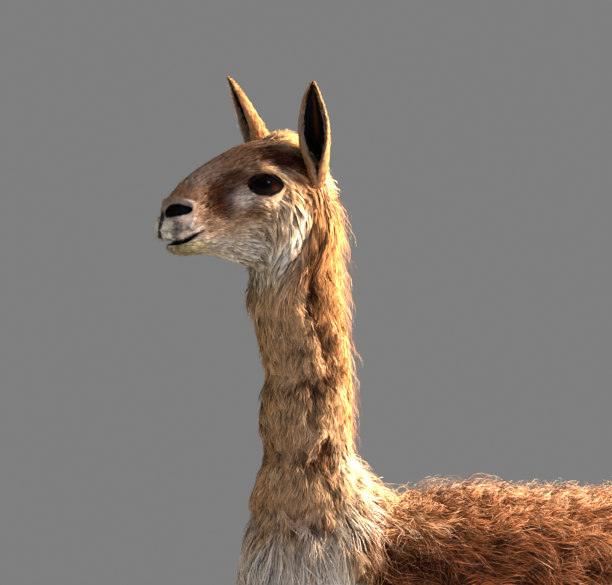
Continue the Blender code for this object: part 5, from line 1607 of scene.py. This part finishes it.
def pick_tufts(tufts, keep):
    """Some of the tufts of a set, with their corners counted anew."""
    each = tufts["each"]
    count = int(keep.sum())
    per_tuft = len(tufts["faces"]) // tufts["count"]
    pattern = tufts["faces"][:per_tuft]
    faces = (np.arange(count)[:, None, None] * each + pattern[None]).reshape(-1, 3)
    uvs = tufts["uvs"].reshape(tufts["count"], -1, 2)[keep].reshape(-1, 2)
    return {"points": pick_rows(tufts["points"], keep, each),
            "normals": pick_rows(tufts["normals"], keep, each), "faces": faces, "uvs": uvs,
            "each": each, "count": count}


def regions(sheet, place, turn):
    """Shares of neck wool, white bib and body fleece at trunk roots. They add up to one."""
    p = sheet.mark(place, turn)
    bib = bib_share(p)
    fleece = back_share(p) * (1 - bib)
    return p, np.clip(1 - bib - fleece, 0, 1), bib, fleece


class VICUNA_OT_neck_coat(Operator):
    """Grows the woolly coat of the neck in lobes"""

    bl_idname = "vicuna.neck_coat"
    bl_label = "Neck wool"

    def execute(self, context):
        settings = context.scene.vicuna_coat
        rng = np.random.default_rng(settings.seed + 1)
        sheet = sheets()["trunk"]
        finish = coat_material("neck_wool", 0.80, 0.04, 0.0)
        place, turn = sheet.scatter(NECK_DENSITY * settings.density, rng, 12.0, 22.5)
        p, neck, _, _ = regions(sheet, place, turn)
        place, turn, p = pick(rng.random(len(place)) < neck, place, turn, p)
        side = side_share(turn)
        deep = crease(p, side)
        grown = np.interp(place, (12.0, 13.5, 20.0), (0.75, 1.0, 1.15))
        length = settings.neck_length * grown * (1 - 0.25 * deep)
        lift = np.interp(place, (12.0, 13.5, 19.0), (0.0035, 0.0055, 0.0080)) * (1 - 0.55 * deep)
        lift = lift * (1 - 0.45 * smooth(-side, -0.40, -0.15) * smooth(-place, -15.5, -13.0))
        style = {
            "steps": 3, "length": length, "lift": lift, "hang": np.full(len(p), 0.30),
            "width": 0.00085, "sink": 0.002, "drift": 0.34, "drift_size": 0.05, "sway": 0.24,
            "roll": 0.8, "clump": (0.012, 0.0060, 0.48), "clump_sway": 0.26, "clump_lift": 0.34,
            "clump_tone": 0.28, "curl": (0.0026, 1.0),
        }
        tufts = grow_coat(sheet, place, turn, rng, style)
        colour = trunk_colour(p, place, turn)
        # No pale tips in the creases, so they stay dark as painted shade
        tip_mix = (0.44 + 0.20 * smooth(-side, -0.35, -0.1)) * (1 - smooth(deep, 0.0, 0.6))
        nape = smooth(-side, -0.66, -0.48) * smooth(p[:, 2], 0.90, 1.00)
        tips = mix(np.tile(np.array(NECK_TIP), (len(p), 1)), NAPE_TIP, 0.9 * nape)
        tint = coat_tint(tufts, colour, 0.20, tips[:, None, :], tip_mix, rng, 0.22, 0.80)
        for name, keep in (("coat_neck_left", p[:, 1] < 0), ("coat_neck_right", p[:, 1] >= 0)):
            coat_piece(name, [(pick_tufts(tufts, keep), pick_rows(tint, keep, tufts["each"]))],
                       finish)
        return {"FINISHED"}


class VICUNA_OT_bib_coat(Operator):
    """Grows the long white hair of the chest"""

    bl_idname = "vicuna.bib_coat"
    bl_label = "Bib"

    def execute(self, context):
        settings = context.scene.vicuna_coat
        rng = np.random.default_rng(settings.seed + 2)
        sheet = sheets()["trunk"]
        finish = coat_material("bib_hair", 0.70, 0.10, 0.0)
        place, turn = sheet.scatter(BIB_DENSITY * settings.density, rng, 18.5, 25.5)
        p, _, bib, _ = regions(sheet, place, turn)
        place, turn, p = pick(rng.random(len(place)) < bib, place, turn, p)
        length = settings.bib_length * np.interp(p[:, 2], (0.55, 0.70, 0.82), (0.75, 1.05, 0.70))
        style = {
            "steps": 5, "length": length, "lift": 0.009, "hang": np.full(len(p), 0.72),
            "width": 0.00095, "sink": 0.002, "drift": 0.42, "drift_size": 0.05, "sway": 0.18,
            "roll": 0.9, "clump": (0.022, 0.0080, 0.48), "clump_sway": 0.24, "clump_lift": 0.45,
            "clump_tone": 0.14, "curl": (np.interp(p[:, 2], (0.73, 0.79), (0.0058, 0.0018)), 1.4),
        }
        tufts = grow_coat(sheet, place, turn, rng, style)
        colour = trunk_colour(p, place, turn)
        tint = coat_tint(tufts, colour, 0.45, BIB_WHITE, 0.30, rng, 0.16)
        coat_piece("coat_bib", [(tufts, tint)], finish)
        return {"FINISHED"}


class VICUNA_OT_body_coat(Operator):
    """Grows the shaggy fleece of the back, sides, belly and rump"""

    bl_idname = "vicuna.body_coat"
    bl_label = "Fleece"

    def execute(self, context):
        settings = context.scene.vicuna_coat
        rng = np.random.default_rng(settings.seed + 3)
        sheet = sheets()["trunk"]
        finish = coat_material("body_fleece", 0.80, 0.03, 0.0)
        place, turn = sheet.scatter(FLEECE_DENSITY * settings.density, rng, 19.3)
        p, _, _, fleece = regions(sheet, place, turn)
        place, turn, p = pick(rng.random(len(place)) < fleece, place, turn, p)
        side = side_share(turn)
        length = settings.fleece_length * np.interp(place, (19.5, 22, 25, 31), (0.55, 0.9, 1.10, 1.0))
        length = length * np.interp(side, (0.0, 0.20, 0.40, 0.6, 1.0), (0.42, 0.60, 1.0, 1.15, 0.7))
        length = length * rng.uniform(0.6, 1.25, len(p))
        lift = np.interp(place, (19.5, 22.0, 24.0), (0.0075, 0.0085, 0.0120))
        lift = lift * rng.uniform(0.4, 1.4, len(p))
        lift = lift * (1 - 0.35 * smooth(-side, -0.20, -0.08))
        lift = lift * (1 - 0.22 * smooth(np.abs(p[:, 1]), 0.13, 0.15))
        style = {
            "steps": 4, "length": length, "lift": lift,
            "hang": np.interp(side, (0, 0.3, 1), (0.1, 0.30, 0.2)),
            "width": 0.00085, "sink": 0.003, "drift": 0.60, "drift_size": 0.06, "sway": 0.34,
            "roll": 0.9, "clump": (0.019, 0.0105, 0.60), "clump_sway": 0.60, "clump_lift": 0.55,
            "clump_tone": 0.40, "curl": (np.interp(side, (0.0, 0.5), (0.0045, 0.0030)), 1.15),
        }
        tufts = grow_coat(sheet, place, turn, rng, style)
        colour = trunk_colour(p, place, turn)
        # Pale tips, far more along the top of the back: real pale tips, and on the top also painted
        # sunlight
        tip_mix = np.interp(side, (0.0, 0.10, 0.22, 0.5), (0.90, 0.48, 0.14, 0.07))
        # Painted sunlight: more pale tips just behind the foot of the neck
        tip_mix = tip_mix + 0.40 * smooth(-p[:, 0], -0.16, -0.10) * smooth(p[:, 2], 0.775, 0.800)
        tip_mix = tip_mix * rng.uniform(0.1, 1.6, len(p)) + 0.50 * (rng.random(len(p)) < 0.14)
        tip_mix = np.clip(tip_mix, 0, 0.95)
        tint = coat_tint(tufts, colour, 0.08, settings.tip_colour, tip_mix, rng, 0.32, 0.85)
        front = p[:, 0] < 0.36
        for name, keep in (
            ("coat_shoulder_left", front & (p[:, 1] < 0)), ("coat_shoulder_right", front & (p[:, 1] >= 0)),
            ("coat_flank_left", ~front & (p[:, 1] < 0)), ("coat_flank_right", ~front & (p[:, 1] >= 0)),
        ):
            coat_piece(name, [(pick_tufts(tufts, keep), pick_rows(tint, keep, tufts["each"]))],
                       finish)
        return {"FINISHED"}


def leg_tufts(kind, where, density, rng):
    """The coat of one leg, short at the foot and shaggy at the thigh, thinner higher up."""
    sheet = sheets()[f"{kind}_{where}"]
    place, turn = sheet.scatter(LEG_DENSITY * density, rng)
    p, _, _, _ = sheet.read(place, turn)
    thin = np.interp(p[:, 2], (0.07, 0.30, 0.50, 0.62), (1.0, 0.9, 0.55, 0.50))
    keep = rng.random(len(p)) < thin
    keep &= p[:, 2] < COAT_TOP[kind] + 0.02 * ripple(p, 0.06, 75)
    place, turn, p = pick(keep, place, turn, p)
    length = np.interp(p[:, 2], (0.06, 0.12, 0.30, 0.44, 0.55), (0.008, 0.009, 0.013, 0.024, 0.055))
    style = {
        "steps": 3, "length": length,
        "lift": np.interp(p[:, 2], (0.06, 0.30, 0.44, 0.55), (0.0018, 0.0030, 0.0055, 0.012)),
        "width": np.interp(length, (0.008, 0.05), (0.0012, 0.0019)),
        "sink": 0.001, "drift": 0.20, "drift_size": 0.05, "sway": 0.20, "roll": 0.7,
        "clump": (0.014, 0.008, 0.5), "clump_tone": 0.14, "clump_sway": 0.25,
    }
    tufts = grow_coat(sheet, place, turn, rng, style)
    return tufts, coat_tint(tufts, leg_colour(p), 0.60, CREAM, 0.22, rng, 0.10)


def toe_tufts(name, density, rng):
    """The short fur of one toe, down to its pad."""
    sheet = sheets()[name]
    place, turn = sheet.scatter(TOE_DENSITY * density, rng)
    p, normal, _, _ = sheet.read(place, turn)
    place, turn, p = pick((normal[:, 2] > -0.3) & (p[:, 2] > 0.006), place, turn, p)
    style = {
        "steps": 2, "length": 0.0070, "lift": 0.0013, "width": 0.0010, "sink": 0.0008,
        "drift": 0.15, "sway": 0.12, "roll": 0.4,
    }
    tufts = grow_coat(sheet, place, turn, rng, style)
    return tufts, coat_tint(tufts, leg_colour(p), 0.7, CREAM, 0.2, rng)


def tail_tufts(density, rng):
    """The long hanging hair of the tail."""
    sheet = sheets()["tail"]
    place, turn = sheet.scatter(TAIL_DENSITY * density, rng)
    p, _, _, _ = sheet.read(place, turn)
    place, turn, p = pick(place > 0.8, place, turn, p)
    style = {
        "steps": 5, "length": 0.062, "lift": 0.011, "hang": np.full(len(p), 0.55), "width": 0.0022,
        "sink": 0.002, "drift": 0.3, "drift_size": 0.06, "sway": 0.12, "roll": 0.6,
        "clump": (0.03, 0.012, 0.65), "clump_tone": 0.12, "curl": (0.003, 0.8),
    }
    tufts = grow_coat(sheet, place, turn, rng, style)
    return tufts, coat_tint(tufts, tail_colour(p, turn), 0.5, CREAM, 0.3, rng)


class VICUNA_OT_limb_coat(Operator):
    """Grows the coat of the legs, feet and tail"""

    bl_idname = "vicuna.limb_coat"
    bl_label = "Legs, feet and tail"

    def execute(self, context):
        settings = context.scene.vicuna_coat
        rng = np.random.default_rng(settings.seed + 4)
        finish = coat_material("limb_fur", 0.80, 0.06, 0.0)
        for kind in ("fore", "hind"):
            parts = []
            for where in SIDES:
                parts.append(leg_tufts(kind, where, settings.density, rng))
                for order in ("inner", "outer"):
                    toe = f"{kind}_{where}_toe_{order}"
                    parts.append(toe_tufts(toe, settings.density, rng))
            coat_piece(f"coat_{kind}_legs", parts, finish)
        coat_piece("coat_tail", [tail_tufts(settings.density, rng)], finish)
        return {"FINISHED"}


class VICUNA_OT_ear_coat(Operator):
    """Grows the fur of the ears: short behind, a pale fringe, and long pale hair inside"""

    bl_idname = "vicuna.ear_coat"
    bl_label = "Ear fur"

    def execute(self, context):
        settings = context.scene.vicuna_coat
        rng = np.random.default_rng(settings.seed + 5)
        finish = coat_material("ear_fur", 0.78, 0.06, 0.0)
        parts = []
        for where in SIDES:
            sheet = sheets()[f"ear_{where}"]
            place, turn = sheet.scatter(EAR_DENSITY * settings.density, rng)
            p, _, _, _ = sheet.read(place, turn)
            share = turn / TAU % 1.0
            rim = np.minimum(np.abs(share - 0.5), np.minimum(share, 1 - share))
            inner = share > 0.5
            deep_hair = (place < 0.30) & (rng.random(len(p)) < 0.12)
            band = rim < 0.085 + 0.070 * smooth(-place, -0.75, -0.1) * (share > 0.75)
            keep = ~inner | band & (rng.random(len(p)) < 0.8) | deep_hair
            place, turn, p, rim, inner = pick(keep, place, turn, p, rim, inner)
            length = 0.0062 + 0.004 * smooth(-place, -0.3, 0.0) + 0.004 * smooth(-rim, -0.03, 0.0)
            length = np.where(inner, 0.0070 + 0.010 * smooth(-place, -0.6, -0.1), length)
            length = length * (0.35 + 0.65 * smooth(-place, -0.92, -0.70))
            lift = np.where(inner, 0.0030, 0.0013 + 0.0008 * smooth(-rim, -0.03, 0.0))
            style = {
                "steps": 3, "length": length, "lift": lift, "width": 0.00062, "sink": 0.0004,
                "drift": 0.15, "drift_size": 0.03, "sway": 0.16, "roll": 0.6,
                "clump": (0.006, 0.0035, 0.35), "clump_tone": 0.06,
            }
            tufts = grow_coat(sheet, place, turn, rng, style)
            colour = ear_colour(p, place, turn)
            light_hair = inner & (rng.random(len(p)) < 0.60) & (place < 0.70)
            colour[:, :3] = mix(colour[:, :3], INNER_EAR, light_hair * smooth(-rim, -0.19, -0.06))
            pale = np.where(inner, 0.0, 0.08)
            parts.append((tufts, coat_tint(tufts, colour, 0.7, CREAM, pale, rng, 0.10)))
        coat_piece("coat_ears", parts, finish)
        return {"FINISHED"}


class VICUNA_OT_lashes(Operator):
    """Sets dark lashes along both upper lids and a few along the lower"""

    bl_idname = "vicuna.lashes"
    bl_label = "Lashes"

    def execute(self, context):
        rng = np.random.default_rng(context.scene.vicuna_coat.seed + 7)
        finish = coat_material("lash_hair", 0.5, 0.0, 0.0)
        parts = []
        share = np.linspace(0, 1, 5)
        for where, side in SIDES.items():
            grid, _ = lid_grid(side, sheets()["trunk"].points[:FACE_LINES])
            rim = grid[4]
            for first, last, count, reach, lift in (
                (0.15, 2.75, 70, 0.0085, 0.55), (3.4, 6.0, 26, 0.0040, -0.5)
            ):
                bearing = rng.uniform(first, last, count)
                index = (bearing / TAU * len(rim)).astype(int) % len(rim)
                start = rim[index]
                _, axes = eye_frame(side)
                fan = axes[0] * (np.cos(bearing)[:, None] * 0.6 - 0.15) + axes[2] * lift * 0.6
                way = unit(axes[1] * 1.0 + fan + rng.normal(0, 0.10, (count, 3)))
                length = reach * rng.uniform(0.6, 1.15, count)
                line = start[:, None] + way[:, None] * (length[:, None] * share)[..., None]
                droop = -0.30 if lift > 0 else 0.10
                line = line + axes[2] * (droop * length[:, None] * share**2)[..., None]
                normal = np.broadcast_to(axes[2] * np.sign(lift), line.shape)
                left, low, wide, tall = PATCHES[f"lids_{where}"]
                patch = np.stack((left + wide * (bearing / TAU), np.full(count, low + tall * 0.3)), -1)
                half = np.full(count, 0.00028)
                tufts = ribbons(line, normal, half, rng.uniform(-0.5, 0.5, count), patch)
                tint = np.tile(np.array((*DARK_BROWN, 1.0)) * (0.3, 0.3, 0.3, 1), (len(tufts["points"]), 1))
                parts.append((tufts, tint))
        coat_piece("lashes", parts, finish)
        return {"FINISHED"}


class VICUNA_OT_loose_hair(Operator):
    """Scatters the long single hairs off the nape and over the fleece"""

    bl_idname = "vicuna.loose_hair"
    bl_label = "Loose hair"

    def execute(self, context):
        settings = context.scene.vicuna_coat
        rng = np.random.default_rng(settings.seed + 6)
        sheet = sheets()["trunk"]
        finish = coat_material("loose_hair", 0.6, 0.1, 0.0)
        parts = []
        for first, last, spot, count, short, long, lift, width, sway in (
            (11.6, 20.0, 0.50, 3400, 0.020, 0.055, 0.50, 0.00030, 0.24),
            (8.8, 12.2, 0.45, 4200, 0.008, 0.015, 1.00, 0.00044, 0.55),
            (0.3, 11.0, 9.00, 6500, 0.003, 0.007, 0.75, 0.00020, 0.25),
        ):
            place = rng.uniform(first, last, count)
            turn = rng.normal(0, spot, count)
            p = sheet.mark(place, turn)
            clear = (both_eyes_gap(p) > 0.006) & (nostril_share(p) > 1.3)
            place, turn, p = pick(clear, place, turn, p)
            count = len(place)
            length = rng.uniform(short, long, count)
            style = {
                "steps": 3, "length": length, "lift": length * lift * rng.uniform(0.2, 1.0, count),
                "hang": np.full(count, 0.35), "width": width, "sink": 0.001, "drift": 0.2, "sway": sway,
                "roll": 1.0, "curl": (length * 0.05, 0.6),
            }
            tufts = grow_coat(sheet, place, turn, rng, style)
            tint = coat_tint(tufts, trunk_colour(p, place, turn), 0.8, GOLD, 0.55, rng)
            parts.append((tufts, tint))
        density = np.interp(
            side_share(around(sheet.count)), (0.12, 0.28), (STRAY_DENSITY_TOP, STRAY_DENSITY_SIDE))
        place, turn = sheet.scatter(density, rng, 19.7)
        p, _, _, fleece = regions(sheet, place, turn)
        place, turn, p = pick(fleece > 0.5, place, turn, p)
        count = len(place)
        style = {
            "steps": 6, "length": rng.uniform(0.03, 0.07, count),
            "lift": rng.uniform(0.007, 0.011, count) * (1 + 1.3 * smooth(-side_share(turn), -0.25, -0.10)),
            "hang": np.full(count, 0.3), "width": 0.00044, "sink": 0.001, "drift": 0.9, "sway": 0.7,
            "roll": 1.0, "curl": (0.006, 1.1),
        }
        tufts = grow_coat(sheet, place, turn, rng, style)
        stray = (tufts, coat_tint(tufts, trunk_colour(p, place, turn), 0.9, GOLD, 0.85, rng))
        coat_piece("loose_hairs", [*parts, stray], finish)
        return {"FINISHED"}


def add_floor(colour):
    """A round, flat floor about the origin, kept out of the part."""
    radii = np.concatenate((np.linspace(0.05, 7.0, 24), [7.4]))
    angles = around(96)
    grid = np.stack((
        radii[:, None] * np.cos(angles), radii[:, None] * np.sin(angles),
        np.full((len(radii), len(angles)), FLOOR_LEVEL)), axis=2)
    rows, sides = grid.shape[:2]
    points = np.vstack((grid.reshape(-1, 3), (0.0, 0.0, FLOOR_LEVEL)))
    quads, _, _, _ = tube_faces(rows, sides, (0, 0, 1, 1), np.linspace(0, 1, rows))
    ring = np.arange(sides)
    centre = np.stack((ring, (ring + 1) % sides, np.full(sides, len(points) - 1)), -1)
    mesh = bpy.data.meshes.new("floor")
    mesh.from_pydata(points.tolist(), [], quads[:, ::-1].tolist() + centre.tolist())
    mesh.materials.append(floor_material(colour))
    floor = bpy.data.objects.new("floor", mesh)
    bpy.context.scene.collection.objects.link(floor)


def add_light(name, aim, way, far, size, power, colour):
    """A round lamp that shines on aim from far away along way. Only the glint is mirrored."""
    lamp = bpy.data.lights.new(name, "AREA")
    lamp.shape = "DISK"
    lamp.size = size
    lamp.energy = power
    lamp.color = colour
    light = bpy.data.objects.new(name, lamp)
    way = way.normalized()
    light.location = aim + way * far
    light.rotation_euler = (-way).to_track_quat("-Z", "Y").to_euler()
    light.visible_glossy = name == "glint"
    bpy.context.scene.collection.objects.link(light)


class VICUNA_OT_stage(Operator):
    """Sets the pale floor, the soft lights, the backdrop colour and the camera"""

    bl_idname = "vicuna.stage"
    bl_label = "Stage"

    def execute(self, context):
        settings = context.scene.vicuna_stage
        add_floor(settings.floor_colour)
        world = bpy.data.worlds.new("studio")
        context.scene.world = world
        world.use_nodes = True
        back = world.node_tree.nodes["Background"]
        back.inputs["Color"].default_value = BACKDROP
        back.inputs["Strength"].default_value = BACKDROP_STRENGTH

        level = math.cos(CAMERA_ELEVATION)
        away = Vector((
            math.sin(CAMERA_AZIMUTH) * level, -math.cos(CAMERA_AZIMUTH) * level,
            math.sin(CAMERA_ELEVATION)))
        right = Vector((math.cos(CAMERA_AZIMUTH), math.sin(CAMERA_AZIMUTH), 0.0))
        lens = bpy.data.cameras.new("camera")
        lens.lens = settings.lens
        lens.sensor_width = 36.0
        camera = bpy.data.objects.new("camera", lens)
        camera.location = Vector(SHIFT) + Vector((0.0, 0.0, AIM_HEIGHT)) + away * CAMERA_DISTANCE
        camera.rotation_euler = (-away).to_track_quat("-Z", "Y").to_euler()
        context.scene.collection.objects.link(camera)
        context.scene.camera = camera

        up = Vector((0.0, 0.0, 1.0))
        flat = Vector((away.x, away.y, 0.0)).normalized()
        aim = Vector((SHIFT[0], SHIFT[1], LIGHTS_AIM_HEIGHT))
        key, fill = settings.key_power, settings.fill_power
        for name, way, far, size, power, colour in (
            ("key", right * 1.0 - flat * 0.28 + up * 0.46, 3.4, 1.2, key, WARM),
            ("rim", -flat * 0.95 + right * 0.45 + up * 0.60, 3.4, 1.2, key * 0.22, WARM_RIM),
            ("fill", flat * 0.9 - right * 0.7 + up * 0.45, 3.6, 2.6, fill, SOFT),
            ("sky", flat * 0.5 + up * 1.0, 3.0, 2.4, fill * 0.8, SOFT),
            ("glint", Vector(GLINT_WAY), 3.0, 0.56, GLINT_POWER, BLUE),
        ):
            add_light(name, aim, way, far, size, power, colour)
        context.scene.view_settings.view_transform = "Standard"
        return {"FINISHED"}


class VICUNA_PT_panel(Panel):
    """Lists the steps that build the vicuna"""

    bl_label = "Vicuna"
    bl_idname = "VICUNA_PT_panel"
    bl_space_type = "VIEW_3D"
    bl_region_type = "UI"
    bl_category = "Vicuna"

    def draw(self, context):
        for owner in (context.scene.vicuna_coat, context.scene.vicuna_stage):
            for name in owner.__annotations__:
                self.layout.prop(owner, name)
        for step in STEPS:
            self.layout.operator(step.bl_idname)


STEPS = (
    VICUNA_OT_stage, VICUNA_OT_skin, VICUNA_OT_eyes, VICUNA_OT_nails, VICUNA_OT_face_coat,
    VICUNA_OT_neck_coat, VICUNA_OT_bib_coat, VICUNA_OT_body_coat, VICUNA_OT_limb_coat,
    VICUNA_OT_ear_coat, VICUNA_OT_lashes, VICUNA_OT_loose_hair,
)
CLASSES = (VicunaCoatSettings, VicunaStageSettings, *STEPS, VICUNA_PT_panel)


def register():
    for kind in CLASSES:
        bpy.utils.register_class(kind)
    bpy.types.Scene.vicuna_coat = PointerProperty(type=VicunaCoatSettings)
    bpy.types.Scene.vicuna_stage = PointerProperty(type=VicunaStageSettings)


def unregister():
    del bpy.types.Scene.vicuna_coat
    del bpy.types.Scene.vicuna_stage
    for kind in reversed(CLASSES):
        bpy.utils.unregister_class(kind)


def main():
    register()
    for step in STEPS:
        group, name = step.bl_idname.split(".")
        getattr(getattr(bpy.ops, group), name)()


if __name__ == "__main__":
    main()
